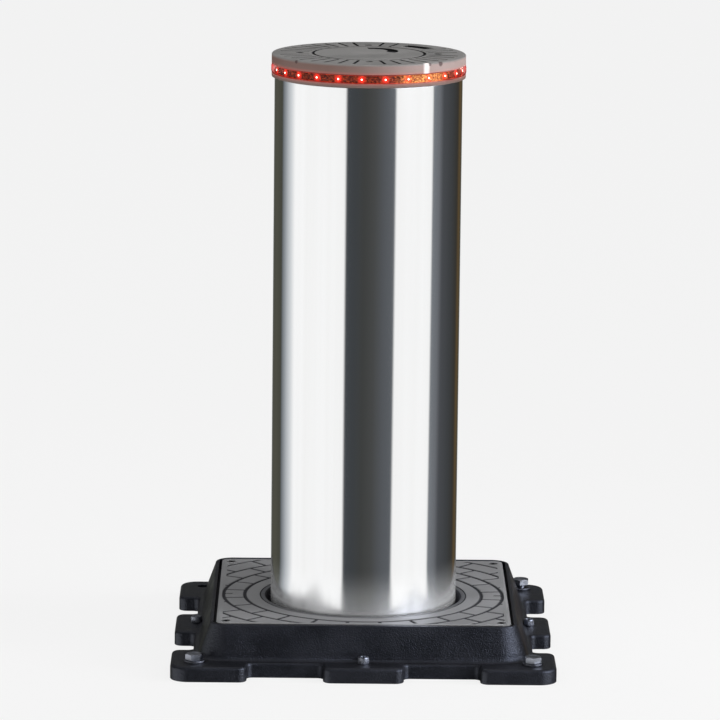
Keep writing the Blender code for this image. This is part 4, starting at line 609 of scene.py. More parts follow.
# Geometry Nodes that several pieces use
def makeTurnCopies():
    # Copies of a geometry round the upright through Centre. Every nth copy can be left out, and one stretch.
    inputs = {"Geometry": "Geometry", "Centre": "Vector", "Count": 12, "Phase": 0.0, "Skip Every": 0,
              "Gap From": -1, "Gap To": -1}
    tree, given, result = newGroup("turnCopies", inputs, {"Geometry": "Geometry"}, "GeometryNodeTree")
    points = add(tree, "GeometryNodePoints", {"Count": given["Count"], "Position": given["Centre"]})
    index = add(tree, "GeometryNodeInputIndex")
    pitch = maths(tree, "DIVIDE", math.tau, given["Count"])
    angle = maths(tree, "ADD", product(tree, index, pitch), given["Phase"])
    rotation = add(tree, "ShaderNodeCombineXYZ", {"Z": angle})
    rest = maths(tree, "MODULO", index, maths(tree, "MAXIMUM", given["Skip Every"], 1.0))
    off = maths(tree, "LESS_THAN", given["Skip Every"], 1.0)
    kept = maths(tree, "MAXIMUM", maths(tree, "GREATER_THAN", rest, 0.5), off)
    before = maths(tree, "LESS_THAN", index, given["Gap From"])
    after = maths(tree, "GREATER_THAN", index, given["Gap To"])
    selection = product(tree, kept, maths(tree, "MAXIMUM", before, after))
    copies = add(tree, "GeometryNodeInstanceOnPoints", {
        "Points": points, "Instance": given["Geometry"], "Rotation": rotation, "Selection": selection})
    feed(result, {"Geometry": add(tree, "GeometryNodeRealizeInstances", {0: copies})})
    return tree


turnCopies = makeTurnCopies()


def copiesOf(tree, geometry, **inputs):
    inputs = {key.replace("_", " "): value for key, value in inputs.items()}
    return add(tree, "GeometryNodeGroup", {"Geometry": geometry, **inputs}, node_tree=turnCopies)


def treeOf(name, inputs):
    # A modifier's tree: its geometry, its named inputs, and an end that realizes and sets the material.
    inputs = {"Geometry": "Geometry", **inputs, "Finish": "Material"}
    tree, given, result = newGroup(name, inputs, {"Geometry": "Geometry"}, "GeometryNodeTree")

    def close(geometry):
        real = add(tree, "GeometryNodeRealizeInstances", {0: geometry})
        finished = add(tree, "GeometryNodeSetMaterial", {"Geometry": real, "Material": given["Finish"]})
        feed(result, {"Geometry": finished})
        return tree

    return tree, given, close


def runTree(piece, tree, values, smooth=35.0):
    # Gives a piece the tree with its inputs set by their identifiers, and keeps the result as a plain mesh.
    modifier = piece.modifiers.new(tree.name, "NODES")
    modifier.node_group = tree
    for item in tree.interface.items_tree:
        if item.in_out == "INPUT" and item.name in values:
            modifier[item.identifier] = values[item.name]
    settle(piece, smooth)


def circleCurve(tree, radius, level, steps):
    circle = add(tree, "GeometryNodeCurvePrimitiveCircle", {"Resolution": steps, "Radius": radius})
    return add(tree, "GeometryNodeTransform", {"Geometry": circle, "Translation": (0, axis.y, level)})


def lineCurve(tree, inner, outer):
    return add(tree, "GeometryNodeCurvePrimitiveLine", {"Start": (inner, 0, 0), "End": (outer, 0, 0)})


def grooveAlong(tree, curve, radius):
    # A round-bottomed cutter along a curve.
    section = add(tree, "GeometryNodeCurvePrimitiveCircle", {"Resolution": 8, "Radius": radius})
    return add(tree, "GeometryNodeCurveToMesh", {"Curve": curve, "Profile Curve": section, "Fill Caps": True})


def cut(tree, piece, cutter):
    inputs = {"Mesh 1": piece, "Mesh 2": cutter, "Self Intersection": True}
    return add(tree, "GeometryNodeMeshBoolean", inputs, operation="DIFFERENCE", solver="EXACT")


def overlap(tree, cutter, low, high):
    # The part of a cutter that lies inside a box.
    box = add(tree, "GeometryNodeMeshCube", {"Size": [b - a for a, b in zip(low, high)]})
    middle = [(a + b) / 2 for a, b in zip(low, high)]
    moved = add(tree, "GeometryNodeTransform", {"Geometry": box, "Translation": middle})
    both = add(tree, "GeometryNodeMeshBoolean", {"Mesh 2": cutter}, operation="INTERSECT", solver="EXACT")
    feed(both.node, {"Mesh 2": moved})
    return both


# The frame casting
frameSpec = {
    "rimHalf": 0.2228, "rimInside": 0.2170, "rimRound": 0.0022, "rimEdge": 0.0008, "corner": 0.040,
    "skirtHalf": 0.2360, "coveTop": 0.034, "cove": 0.008,
    "ledgeHalf": 0.1870, "ledge": 0.009, "inside": 0.2140, "pocket": 0.016,
    "footHalf": 0.2470, "footRound": 0.005, "footEdge": 0.0006, "lugReach": 0.0305, "lugHeight": 0.022,
    "lugCorner": 0.026, "middleLug": 0.0455, "cornerLug": 0.180, "lugRound": 0.0125, "lugHollow": 0.009,
    "boltSpot": 0.243, "boltHole": 0.0088, "washerFace": 0.0162,
    "capSpot": 0.2465, "capHole": 0.0055, "capFace": 0.0092,
    "spotHeight": 0.016, "holeEdge": 0.0004, "steps": 8,
}


def lugOutline(spec):
    # The foot from above: each side steps out to a middle lug and to the lugs at the corners.
    arc, lugRound, hollow = quarterArc(spec["steps"]), spec["lugRound"], spec["lugHollow"]
    outer = spec["footHalf"] + spec["lugReach"]
    end = [(outer - lugRound * (1 - c), lugRound * s) for s, c in arc]
    end += [(spec["footHalf"] + hollow * (1 - s), lugRound + hollow * (1 - c)) for s, c in arc]
    half = [(reach, spec["middleLug"] + along) for reach, along in end]
    half += [(reach, spec["cornerLug"] - along) for reach, along in reversed(end)]
    side = [(reach, -along) for reach, along in reversed(half)] + half
    corner, middle = spec["lugCorner"], outer - spec["lugCorner"]
    side += [(middle + corner * c, middle + corner * s) for s, c in quarterArc(spec["steps"] * 2)]
    turns = [Matrix.Rotation(math.pi / 2 * quarter, 2) for quarter in range(4)]
    points = [quarter @ Vector(point) for quarter in turns for point in side]
    return [p for i, p in enumerate(points) if (p - points[i - 1]).length > 1e-5]


def inset(points, distance, height):
    # A loop at a height, moved inwards from an outline.
    loop = []
    for i, point in enumerate(points):
        along = points[(i + 1) % len(points)] - points[i - 1]
        inwards = Vector((-along.y, along.x)).normalized()
        loop.append((*(point + inwards * distance), height))
    return loop


def skirtSection(spec):
    # The wall's section, from the cove over the rim to the ledge inside: reach, height and corner radius.
    arc, foot, top = quarterArc(spec["steps"]), spec["lugHeight"], plateHigh.z - ground
    skirt, cove, rim = spec["skirtHalf"], spec["cove"], spec["rimRound"]
    outside = [(skirt + cove, 0.0)]
    outside += [(skirt + cove * (1 - s), foot + (spec["coveTop"] - foot) * (1 - c)) for s, c in arc]
    outside += [(spec["rimHalf"] - rim * (1 - c), top - rim * (1 - s)) for s, c in arc]
    section = [(out, rise, spec["corner"] + out - skirt) for out, rise in outside]
    edge, inside, ledge = spec["rimEdge"], spec["rimInside"], spec["ledgeHalf"]
    ledgeTop = plateLow.z - ground - seatGap
    ledgeFoot = ledgeTop - spec["ledge"]
    rest = [(inside + edge, top), (inside, top - edge), (inside, ledgeTop), (ledge, ledgeTop)]
    rest += [(ledge, ledgeFoot), (spec["inside"] - cove, ledgeFoot - cove), (spec["inside"], 0.0)]
    return section + [(out, rise, spec["pocket"]) for out, rise in rest]


def makeFrameCasting(spec, finish):
    steps, foot, edge = spec["steps"], spec["lugHeight"], spec["footEdge"]
    outline = lugOutline(spec)
    loops = [inset(outline, edge, ground), inset(outline, 0.0, ground + edge)]
    for s, c in quarterArc(steps):
        loops.append(inset(outline, spec["footRound"] * (1 - c), ground + foot - spec["footRound"] * (1 - s)))
    shape = bmesh.new()
    loft(shape, loops)
    base = newPiece("frameCasting", shape, finish)
    half = (spec["inside"] + spec["skirtHalf"]) / 2
    opening = bmesh.new()
    loft(opening, [roundedSquare(half, 0.002, h, 2) for h in (ground - cutPast, ground + foot + cutPast)])
    combine(base, opening)
    wall = bmesh.new()
    loops = [roundedSquare(out, corner, ground + rise, steps * 2) for out, rise, corner in skirtSection(spec)]
    loft(wall, loops, ring=True)
    combine(base, wall, "UNION")

    corners, bolt, cap = [(x, y) for x in (-1, 1) for y in (-1, 1)], spec["boltSpot"], spec["capSpot"]
    spots = [(x * bolt, y * bolt, spec["boltHole"], spec["washerFace"]) for x, y in corners]
    spots += [(x * cap, y * cap, spec["capHole"], spec["capFace"]) for x, y in sides.values()]
    holes = bmesh.new()
    low, seat, bevel = ground - cutPast, ground + foot, spec["holeEdge"]
    for x, y, hole, face in spots:
        profile = [(hole, low), (hole, seat - bevel), (hole + bevel, seat), (face, seat)]
        turn(holes, solid([*profile, (face, seat + spec["spotHeight"])]), 32, Vector((x, y, 0)))
    combine(base, holes)
    for vertex in base.data.vertices:
        vertex.co.z = max(vertex.co.z, ground)
    keep(base, "housing", "casting", "frame_casting")
    print("frame casting:", len(base.data.polygons), "faces")


makeFrameCasting(frameSpec, finishes["casting"])

# The cover plate with its rings of setts
plateSpec = {
    "half": 0.2130, "corner": 0.012, "edge": 0.0010, "bore": 0.1518, "boreEdge": 0.0012,
    "rings": (0.1747, 0.2060, 0.2399, 0.2754), "setts": 24, "margin": 0.0085, "ringMargin": 0.0048,
    "grooveRadius": 0.0046, "grooveRise": 0.0030,
    "screwX": 0.1990, "screwY": 0.1950, "screwHead": 0.0063, "screwShank": 0.0033,
    "screwSink": 0.0013, "screwEdge": 0.0003,
    "slotLength": 0.012, "slotWidth": 0.0045, "slotDepth": 0.006,
}


def makePlateTree(spec):
    inputs = {"Groove Radius": spec["grooveRadius"], "Setts": spec["setts"]}
    tree, given, close = treeOf("settGrooves", inputs)
    level = plateHigh.z + spec["grooveRise"]
    plate = given["Geometry"]

    def clip(cutter, margin):
        inwards = Vector((margin, margin, 0))
        return overlap(tree, cutter, plateLow + inwards, (*(plateHigh - inwards).xy, level + 0.01))

    for i, radius in enumerate(spec["rings"]):
        cutter = grooveAlong(tree, circleCurve(tree, radius, level, 192), given["Groove Radius"])
        if i > 0:
            cutter = clip(cutter, spec["ringMargin" if i == 1 else "margin"])
        plate = cut(tree, plate, cutter)
    for i, (inner, outer) in enumerate(zip(spec["rings"], spec["rings"][1:])):
        bar = grooveAlong(tree, lineCurve(tree, inner, outer), given["Groove Radius"])
        phase = math.pi / spec["setts"] if i % 2 == 0 else 0.0
        bars = copiesOf(tree, bar, Centre=(0, axis.y, level), Count=given["Setts"], Phase=phase)
        plate = cut(tree, plate, clip(bars, spec["margin"]))
    return close(plate)


def makeCoverPlate(spec, finish):
    low, top = plateLow.z, plateHigh.z
    edge, half = spec["edge"], spec["half"]
    profile = [(half - edge, low), (half, low + edge), (half, top - edge)]
    profile += [(half - edge * 0.3, top - edge * 0.3), (half - edge, top)]
    shape = bmesh.new()
    loft(shape, [roundedSquare(out, spec["corner"] - half + out, height, 12) for out, height in profile])
    plate = newPiece("coverPlate", shape, finish)
    cutters = bmesh.new()
    bore = [(spec["bore"], low - cutPast), *brokenEdge(spec["bore"], top, spec["boreEdge"])]
    turn(cutters, solid(bore), 192)
    shank, head, sink = spec["screwShank"], spec["screwHead"], top - spec["screwSink"]
    hole = [(shank, low - cutPast), (shank, sink - head + shank), (head, sink)]
    hole += brokenEdge(head, top, spec["screwEdge"])
    for x in (-1, 1):
        for y in (-1, 1):
            turn(cutters, solid(hole), 32, Vector((x * spec["screwX"], y * spec["screwY"], 0)))
        place = Matrix.Translation((x * spec["screwX"], axis.y, top + (cutPast - spec["slotDepth"]) / 2))
        size = Matrix.Diagonal((spec["slotLength"], spec["slotWidth"], spec["slotDepth"] + cutPast, 1.0))
        bmesh.ops.create_cube(cutters, size=1.0, matrix=place @ size)
    combine(plate, cutters)
    values = {"Finish": finish, "Groove Radius": spec["grooveRadius"], "Setts": spec["setts"]}
    runTree(plate, makePlateTree(spec), values)
    keep(plate, "housing", "plate", "cover_plate")
    print("cover plate:", len(plate.data.polygons), "faces")


makeCoverPlate(plateSpec, finishes["plate"])

collarSpec = {
    "bore": 0.1432, "outer": 0.1515, "flange": 0.1590, "flangeThickness": 0.006,
    "boreRound": 0.003, "outerRound": 0.0014, "edge": 0.0004,
    "sealLip": 0.1369, "lipRound": 0.0002, "sealSlope": (0.002, 0.0035, 0.004), "sealEdge": 0.0003,
}


def makeCollar(spec):
    # The ring that the cylinder passes, and the seal under it.
    low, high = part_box("collar_ring")
    bore, outer, flange, flangeTop = spec["bore"], spec["outer"], spec["flange"], plateLow.z - seatGap
    flangeLow = flangeTop - spec["flangeThickness"]
    profile = [(bore, high.z, spec["boreRound"]), (bore, low.z), (outer, low.z), (outer, flangeLow)]
    profile += [(flange, flangeLow), (flange, flangeTop), (outer, flangeTop)]
    profile.append((outer, high.z, spec["outerRound"]))
    collar = turnedPiece("collarRing", rounded(profile, spec["edge"]), finishes["collar"])
    keep(collar, "housing", "collar", "collar_ring")
    low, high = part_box("wiper_seal")
    lip, (half, bottom, back) = spec["sealLip"], spec["sealSlope"]
    profile = [(lip, high.z, spec["lipRound"]), (lip + half, (low.z + high.z) / 2), (lip + bottom, low.z)]
    profile += [(outer, low.z), (outer, high.z), (lip + back, high.z)]
    seal = turnedPiece("wiperSeal", rounded(profile, spec["sealEdge"]), finishes["rubber"])
    keep(seal, "housing", "rubber", "wiper_seal")


makeCollar(collarSpec)

# The cylinder
tubeSpec = {"wall": 0.006, "edge": 0.0010, "steps": 256}


def makeTube(spec):
    outer = tubeHigh.x
    inner = outer - spec["wall"]
    profile = [(inner, tubeLow.z), (outer, tubeLow.z), (outer, tubeHigh.z), (inner, tubeHigh.z)]
    tube = turnedPiece("tubeShell", rounded(profile, spec["edge"], 4), finishes["stainless"], spec["steps"])
    keep(tube, "cylinder", "stainless", "tube")


makeTube(tubeSpec)

headSpec = {
    "edge": 0.0022, "corner": 0.0006, "skin": 0.008, "rim": 0.1205, "lensGap": 0.0016,
    "circle": 0.0810, "circleWidth": 0.0022,
    "strokes": 36, "strokeFrom": 0.0875, "strokeTo": 0.1305, "strokeRadius": 0.0023, "strokeGap": (4, 6),
    "screwCircle": 0.1000, "screwRadius": 0.0050, "screwSeat": 0.005, "screwEdge": 0.0005,
    "shankShare": 0.55, "post": 0.009, "postInSkin": 0.002, "recessDepth": 0.003,
    "arc": {"centre": (0, 0), "radius": 0.1080, "width": 0.0190, "from": 35, "to": 60, "steps": 16},
    "lift": {
        "centre": (0.004, 0.030), "radius": 0.0310, "width": 0.0160, "from": 100, "to": -30, "steps": 24},
}


def arcBlock(shape, arc, low, high):
    # A curved block along an arc, as a cutter.
    inner, outer = arc["radius"] - arc["width"] / 2, arc["radius"] + arc["width"] / 2
    centre = Vector((*arc["centre"], 0)) + axis
    loops = []
    for i in range(arc["steps"] + 1):
        ray = polar(1.0, math.radians(arc["from"] + (arc["to"] - arc["from"]) * i / arc["steps"]))
        corners = ((inner, low), (outer, low), (outer, high), (inner, high))
        loops.append([centre + ray * radius + Vector((0, 0, height)) for radius, height in corners])
    loft(shape, loops)


def makeStrokeTree(spec):
    inputs = {"Stroke Radius": spec["strokeRadius"], "Strokes": spec["strokes"]}
    tree, given, close = treeOf("headStrokes", inputs)
    circle = circleCurve(tree, spec["circle"], headHigh.z, 96)
    head = cut(tree, given["Geometry"], grooveAlong(tree, circle, spec["circleWidth"]))
    stroke = grooveAlong(tree, lineCurve(tree, spec["strokeFrom"], spec["strokeTo"]), given["Stroke Radius"])
    first, last = spec["strokeGap"]
    strokes = copiesOf(
        tree, stroke, Centre=(0, axis.y, headHigh.z), Count=given["Strokes"],
        Skip_Every=spec["strokes"] // len(sides), Gap_From=first, Gap_To=last)
    return close(cut(tree, head, strokes))


def makeHead(spec, finish):
    outer, top, rim = headHigh.x, headHigh.z, spec["rim"]
    low, skinLow = lensHigh.z + spec["lensGap"], top - spec["skin"]
    profile = [(0, skinLow), (rim, skinLow), (rim, low), (outer, low), (outer, top, spec["edge"]), (0, top)]
    head = turnedPiece("headDisc", rounded(profile, spec["corner"], 4), finish)
    spots = [Vector((x, y, 0)) * spec["screwCircle"] + axis for x, y in sides.values()]
    posts = bmesh.new()
    cutters = bmesh.new()
    for name in ("arc", "lift"):
        arcBlock(cutters, spec[name], top - spec["recessDepth"], top + cutPast)
    seat, radius = top - spec["screwSeat"], spec["screwRadius"] + seatGap
    shank = spec["screwRadius"] * spec["shankShare"] + seatGap
    postTop = skinLow + spec["postInSkin"]
    hole = [(shank, headLow.z - cutPast), (shank, seat), (radius, seat)]
    hole += brokenEdge(radius, top, spec["screwEdge"])
    for spot in spots:
        turn(posts, solid([(spec["post"], headLow.z), (spec["post"], postTop)]), 32, spot)
        turn(cutters, solid(hole), 32, spot)
    combine(head, posts, "UNION")
    combine(head, cutters)
    values = {"Finish": finish, "Stroke Radius": spec["strokeRadius"], "Strokes": spec["strokes"]}
    runTree(head, makeStrokeTree(spec), values)
    keep(head, "cylinder", "aluminium", "head_casting")
    print("head:", len(head.data.polygons), "faces")


makeHead(headSpec, finishes["aluminium"])


def makeLightBand(spec):
    # The clear band and the copper strip behind it.
    bulge, middle, low, high = lensHigh.x, spec["middle"], lensLow.z, lensHigh.z
    back, shoulder, curve = bulge - spec["lensWall"], bulge - spec["lensBulge"], spec["lensRound"]
    profile = [(back, low), (shoulder, low, curve), (bulge, middle - spec["lensLevel"])]
    profile += [(bulge, middle + spec["lensLevel"]), (shoulder, high, curve), (back, high)]
    lens = turnedPiece("clearBand", rounded(profile, spec["lensEdge"]), finishes["lens"])
    keep(lens, "cylinder", "lens", "led_lens")
    low, high = (corner.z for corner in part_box("led_board"))
    back, front = spec["seat"] - spec["stripBack"], spec["seat"] - spec["stripFront"]
    profile = [(back, low), (front, low), (front, high), (back, high)]
    strip = turnedPiece("copperStrip", rounded(profile, 0.0001, 1), finishes["board"])
    keep(strip, "cylinder", "board", "led_board")


makeLightBand(lightRow)

lampSpec = {
    "domeFrom": 0.0008, "domeTop": 0.0016, "domeRadii": (0.0012, 0.0011), "domeRound": 0.0006,
    # What stands on the strip at each lamp: place along and up the strip, and size.
    "blocks": (
        (0.0, 0.0, (0.0009, 0.0034, 0.0028)), (0.0070, 0.0016, (0.0006, 0.0020, 0.0012)),
        (-0.0070, -0.0018, (0.0006, 0.0020, 0.0012)), (0.0100, -0.0012, (0.0006, 0.0012, 0.0020)),
    ),
}


def makeLampRow(row, spec):
    # Lamps on the strip, with the small blocks that they sit on.
    tree, given, close = treeOf("lampRow", {"Lamps": row["count"], "Phase": 0.0})
    close(copiesOf(tree, given["Geometry"], Centre=axis, Count=given["Lamps"], Phase=given["Phase"]))
    front = row["seat"] - row["stripFront"]
    outward = Matrix.Translation((front, 0, row["middle"])) @ Matrix.Rotation(math.pi / 2, 4, "Y")
    (wide, narrow), low, top = spec["domeRadii"], spec["domeFrom"], spec["domeTop"]
    profile = rounded(solid([(wide, low), (narrow, top, spec["domeRound"])]), 0.0, 4)
    dome = bmesh.new()
    turn(dome, profile, 12, Vector((0, 0, 0)), outward)
    lamps = newPiece("lamps", dome, finishes["lamp"])
    body = bmesh.new()
    for y, z, size in spec["blocks"]:
        place = Matrix.Translation((front + size[0] / 2, y, row["middle"] + z))
        bmesh.ops.create_cube(body, size=1.0, matrix=place @ Matrix.Diagonal((*size, 1.0)))
    bodies = newPiece("lampBodies", body, finishes["lampBody"])
    values = {"Lamps": row["count"], "Phase": math.radians(row["phase"])}
    for piece, finish in ((lamps, finishes["lamp"]), (bodies, finishes["lampBody"])):
        runTree(piece, tree, {**values, "Finish": finish})
        keep(piece, "cylinder", "board")


makeLampRow(lightRow, lampSpec)
print("light band made")

# Bolts and screws
boltSpec = {
    "radius": 0.0077, "pitch": 0.002, "thread": 0.0011, "threadSteps": 24, "threadRows": 4,
    "flats": 0.0228, "headHeight": 0.010, "crown": 0.0012, "headSteps": 48, "shankInHead": 0.0005,
    # Shares of the half width: the cone of the chamfer, the washer face, the top's edge and the dish.
    "cone": 0.96, "face": 0.95, "top": 0.93, "dishFrom": 0.6, "dishTo": 0.57,
    "washerFace": 0.0004, "dish": 0.0003, "washerBore": 0.0088, "washerRadius": 0.0150, "washerEdge": 0.0004,
    "turns": {"front_left": 12.0, "front_right": 40.0, "back_right": 25.0},
}


def threadedShank(shape, spec, low, high, centre):
    # A shank with a true helical thread between two heights.
    rows, steps = spec["threadRows"], spec["threadSteps"]
    count = max(2, int((high - low) / spec["pitch"] * rows))
    loops = []
    for row in range(count + 1):
        height = low + (high - low) * row / count
        fade = min(1.0, row / rows, (count - row) / rows)
        loop = []
        for i in range(steps):
            phase = ((height - low) / spec["pitch"] - i / steps) % 1.0
            reach = spec["radius"] - spec["thread"] * (1 - abs(2 * phase - 1)) * fade
            loop.append(centre + polar(reach, math.tau * i / steps, height))
        loops.append(loop)
    loft(shape, loops)


def hexHead(shape, spec, low, high, centre, degrees):
    # A hexagonal head, chamfered where a cone meets its flats and dished, with a washer face under it.
    half, steps, face = spec["flats"] / 2, spec["headSteps"], low + spec["washerFace"]
    angles = [math.tau * i / steps for i in range(steps)]
    flats = [half / math.cos(angle % (math.pi / 3) - math.pi / 6) for angle in angles]
    drops = [max(0.0, (flat - half * spec["cone"]) * math.tan(math.radians(30))) for flat in flats]

    def level(reaches, heights):
        turned = [angle + math.radians(degrees) for angle in angles]
        return [centre + polar(*point) for point in zip(reaches, turned, heights)]

    under = [half * spec["face"]] * steps
    loops = [level(under, [low] * steps), level(under, [face] * steps)]
    loops += [level(flats, [face] * steps), level(flats, [high - drop for drop in drops])]
    top = ((spec["top"], high), (spec["dishFrom"], high), (spec["dishTo"], high - spec["dish"]))
    for share, height in top:
        loops.append(level([half * share] * steps, [height] * steps))
    loft(shape, loops)


def makeCornerBolts(spec):
    bore, radius = spec["washerBore"], spec["washerRadius"]
    for name, degrees in spec["turns"].items():
        low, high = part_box("corner_bolt_" + name)
        centre = centreOf("corner_washer_" + name)
        seat = high.z - spec["headHeight"]
        shape = bmesh.new()
        threadedShank(shape, spec, low.z, seat + spec["shankInHead"], centre)
        hexHead(shape, spec, seat, high.z - spec["crown"], centre, degrees)
        bolt = newPiece("bolt_" + name, shape, finishes["brightZinc"], 25.0)
        keep(bolt, "housing", "zinc", "corner_bolt_" + name)
        low, high = (corner.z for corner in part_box("corner_washer_" + name))
        profile = rounded([(bore, low), (radius, low), (radius, high), (bore, high)], spec["washerEdge"])
        washer = turnedPiece("washer_" + name, profile, finishes["dullZinc"], 64, centre)
        keep(washer, "housing", "zinc", "corner_washer_" + name)


makeCornerBolts(boltSpec)

capSpec = {
    "radius": 0.008, "shank": 0.005, "height": 0.010, "round": 0.001, "edge": 0.0002,
    "key": 0.0046, "keyMouth": 0.005, "keyBevel": 0.0003, "keyDepth": 0.0055,
    "knurls": 30, "knurlDepth": 0.0003, "knurlHalf": 0.0005, "knurlFrom": 0.0008, "knurlTo": 0.0014,
}


def makeCapScrews(spec):
    # Socket screws in the middle lugs, with knurled heads.
    tree, given, close = treeOf("knurls", {"Knurls": spec["knurls"], "Centre": "Vector"})
    close(copiesOf(tree, given["Geometry"], Centre=given["Centre"], Count=given["Knurls"]))
    shank, head, edge, half = spec["shank"], spec["radius"] - spec["edge"], spec["edge"], spec["knurlHalf"]
    key, knurl = spec["key"], spec["radius"] - spec["knurlDepth"]
    values = {"Finish": finishes["brightZinc"], "Knurls": spec["knurls"]}
    for side in sides:
        low, high = (corner.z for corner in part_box("mid_lug_screw_" + side))
        centre = centreOf("mid_lug_screw_" + side)
        seat, socket = high - spec["height"], high - spec["keyDepth"]
        profile = [(0, low), (shank, low), (shank, seat), (head, seat), (head, high, spec["round"])]
        profile += [(spec["keyMouth"], high), (key, high - spec["keyBevel"]), (key, socket), (0, socket)]
        shape = bmesh.new()
        turn(shape, rounded(profile, edge, 2), 48, centre)
        screw = newPiece("capScrew_" + side, shape, finishes["brightZinc"])
        ridge = bmesh.new()
        section = [(knurl, -half), (spec["radius"], 0.0), (knurl, half)]
        ends = (seat + spec["knurlFrom"], high - spec["knurlTo"])
        loft(ridge, [[(x, y, end) for x, y in section] for end in ends])
        ridges = newPiece("knurl_" + side, ridge, finishes["brightZinc"])
        runTree(ridges, tree, {**values, "Centre": centre}, 20.0)
        keep(screw, "housing", "zinc", "mid_lug_screw_" + side)
        keep(ridges, "housing", "zinc")


makeCapScrews(capSpec)
print("bolts and screws made")

# The stage: floor, world, lamps and camera
white, window = (1.22, 1.22, 1.22), (5.2, 5.5, 6.3)
studio = {
    "background": paint(244, 244, 244),
    "floor": (0.2, 40.0),  # half sides of its opening, which the frame hides, and of its outer edge
    "floorGlow": 0.915,
    "floorShade": (0.07, 0.07, 0.07),
    "softLight": (0.85, 0.85, 0.85),
    # What polished metal sees round the room: degrees from the front towards the right, and a colour.
    "walls": [
        (-180, (0.20, 0.21, 0.20)), (-169, (0.19, 0.20, 0.19)), (-163, (0.080, 0.082, 0.066)),
        (-146, (0.092, 0.092, 0.072)), (-130, (0.076, 0.078, 0.062)),
        (-127, (0.18, 0.20, 0.22)), (-119, (0.42, 0.45, 0.48)), (-108, (0.82, 0.85, 0.88)), (-100, white),
        (-27.5, white), (-26, (0.068, 0.076, 0.086)), (-14, (0.060, 0.066, 0.072)),
        (-4, (0.064, 0.067, 0.066)), (8, (0.080, 0.083, 0.083)), (20, (0.112, 0.120, 0.132)),
        (33, (0.135, 0.148, 0.165)), (34.5, white), (85, white), (87, (0.24, 0.26, 0.285)),
        (98, (0.18, 0.19, 0.21)), (105, (0.085, 0.090, 0.100)), (126, (0.058, 0.062, 0.066)),
        (143, (0.045, 0.042, 0.036)), (152, (0.115, 0.078, 0.036)), (163, (0.080, 0.064, 0.042)),
        (170, (0.19, 0.20, 0.19)), (180, (0.20, 0.21, 0.20)),
    ],
    # The same above the horizon, where only a window on the right is bright.
    "upperWalls": [
        (-180, (0.06, 0.06, 0.06)), (-100, (0.10, 0.10, 0.11)), (-50, (0.16, 0.16, 0.17)),
        (-15, (0.05, 0.05, 0.055)), (25, (0.06, 0.06, 0.07)), (44, window), (84, window),
        (98, (0.12, 0.12, 0.13)), (180, (0.06, 0.06, 0.06)),
    ],
    "wallsMeet": (0.05, 0.14),  # sine of the height at which the lower walls give way to the upper ones
    "ceilingFrom": (0.5, 0.85),
    "ceiling": (0.42, 0.42, 0.43),
}


def makeFloor(spec):
    # A pale floor with an opening for the casing, faintly shaded where the frame stands.
    corners = ((-1, -1), (1, -1), (1, 1), (-1, 1))
    shape = bmesh.new()
    loft(shape, [[(x * r, y * r, ground - 0.0001) for x, y in corners] for r in spec["floor"]], capped=False)
    mesh = bpy.data.meshes.new("floor")
    shape.to_mesh(mesh)
    shape.free()
    floor = bpy.data.objects.new("floor", mesh)
    scene.collection.objects.link(floor)
    material = bpy.data.materials.new("floor")
    material.use_nodes = True
    tree = material.node_tree
    tree.nodes.clear()
    shown = add(tree, "ShaderNodeEmission", {"Color": spec["background"], "Strength": spec["floorGlow"]})
    shade = add(tree, "ShaderNodeBsdfDiffuse", {"Color": spec["floorShade"]})
    seen = add(tree, "ShaderNodeAddShader", {0: shown, 1: shade})
    diffuse = add(tree, "ShaderNodeBsdfDiffuse", {"Color": (0.8, 0.8, 0.8)})
    path = add(tree, "ShaderNodeLightPath", out="Is Camera Ray")
    surface = add(tree, "ShaderNodeMixShader", {0: path, 1: diffuse, 2: seen})
    feed(tree.nodes.new("ShaderNodeOutputMaterial"), {"Surface": surface})
    mesh.materials.append(material)
    floor.visible_glossy = False


def azimuthRamp(tree, share, walls):
    ramp = add(tree, "ShaderNodeValToRGB", {0: share})
    stops = ramp.node.color_ramp.elements
    while len(stops) > 1:
        stops.remove(stops[-1])
    for i, (degrees, colour) in enumerate(walls):
        place = (degrees + 180) / 360
        stop = stops[0] if i == 0 else stops.new(place)
        stop.position = place
        stop.color = (*colour, 1.0)
    return ramp


def makeWorld(spec):
    world = bpy.data.worlds.new("studio")
    scene.world = world
    world.use_nodes = True
    tree = world.node_tree
    tree.nodes.clear()
    x, y, z = split(tree, add(tree, "ShaderNodeTexCoord", out="Generated"))
    angle = maths(tree, "ARCTAN2", x, product(tree, y, -1.0))
    share = maths(tree, "ADD", maths(tree, "DIVIDE", angle, math.tau), 0.5)
    lower, upper = azimuthRamp(tree, share, spec["walls"]), azimuthRamp(tree, share, spec["upperWalls"])
    walls = blend(tree, remap(tree, z, *spec["wallsMeet"]), lower, upper)
    room = blend(tree, remap(tree, z, *spec["ceilingFrom"]), walls, spec["ceiling"])
    path = add(tree, "ShaderNodeLightPath").node.outputs
    lit = blend(tree, path["Is Glossy Ray"], spec["softLight"], room)
    seen = blend(tree, path["Is Camera Ray"], lit, spec["background"])
    background = add(tree, "ShaderNodeBackground", {"Color": seen})
    feed(tree.nodes.new("ShaderNodeOutputWorld"), {"Surface": background})


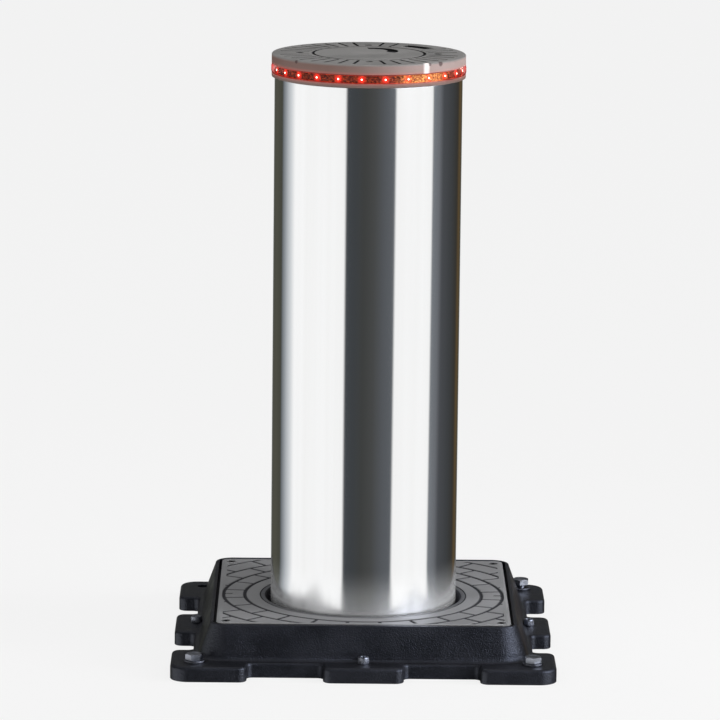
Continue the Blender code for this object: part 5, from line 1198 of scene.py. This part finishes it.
def makeLamp(name, place, target, size, power, spread=180.0):
    # A round lamp, with its place and target counted from the ground.
    light = bpy.data.lights.new(name, "AREA")
    light.shape = "DISK"
    light.size = size
    light.energy = power
    light.spread = math.radians(spread)
    lamp = bpy.data.objects.new(name, light)
    scene.collection.objects.link(lamp)
    lamp.location = Vector(place) + Vector((0, 0, ground))
    lamp.rotation_mode = "QUATERNION"
    lamp.rotation_quaternion = (Vector(target) - Vector(place)).to_track_quat("-Z", "Y")
    lamp.visible_camera = False
    lamp.visible_glossy = False


# Angles in radians, and the focal length in pixels of the photograph
cameraSpec = {
    "place": (-0.05489, -7.28469, 2.77988), "yaw": 0.00643, "pitch": 0.18061, "roll": 0.01076,
    "focal": 5036.96, "pixels": 720, "sensor": 36.0,
}


def makeCamera(spec):
    # Placed so that the frame's and the head's edges fall where the photograph has them.
    yaw, pitch, roll = spec["yaw"], spec["pitch"], spec["roll"]
    forward = Vector((math.sin(yaw) * math.cos(pitch), math.cos(yaw) * math.cos(pitch), -math.sin(pitch)))
    right = Vector((math.cos(yaw), -math.sin(yaw), 0))
    up = right.cross(forward)
    rolledRight = right * math.cos(roll) + up * math.sin(roll)
    rolledUp = up * math.cos(roll) - right * math.sin(roll)
    camera = bpy.data.objects.new("camera", bpy.data.cameras.new("camera"))
    scene.collection.objects.link(camera)
    camera.data.sensor_width = spec["sensor"]
    camera.data.lens = spec["focal"] * spec["sensor"] / spec["pixels"]
    camera.data.clip_end = 100.0
    turned = Matrix((rolledRight, rolledUp, -forward)).transposed()
    camera.matrix_world = Matrix.Translation(spec["place"]) @ turned.to_4x4()
    scene.camera = camera


makeFloor(studio)
makeWorld(studio)
makeLamp("keyLight", (-3.2, -4.0, 4.5), (0.0, 0.0, 0.4), 2.5, 62.0)
makeLamp("fillLight", (4.0, -2.0, 2.5), (0.0, 0.0, 0.4), 2.5, 76.0)
makeLamp("windowLight", (3.0, -0.63, 1.1), (0.1, 0.0, 0.0), 0.8, 6.5, 50.0)
makeCamera(cameraSpec)
print("stage made")
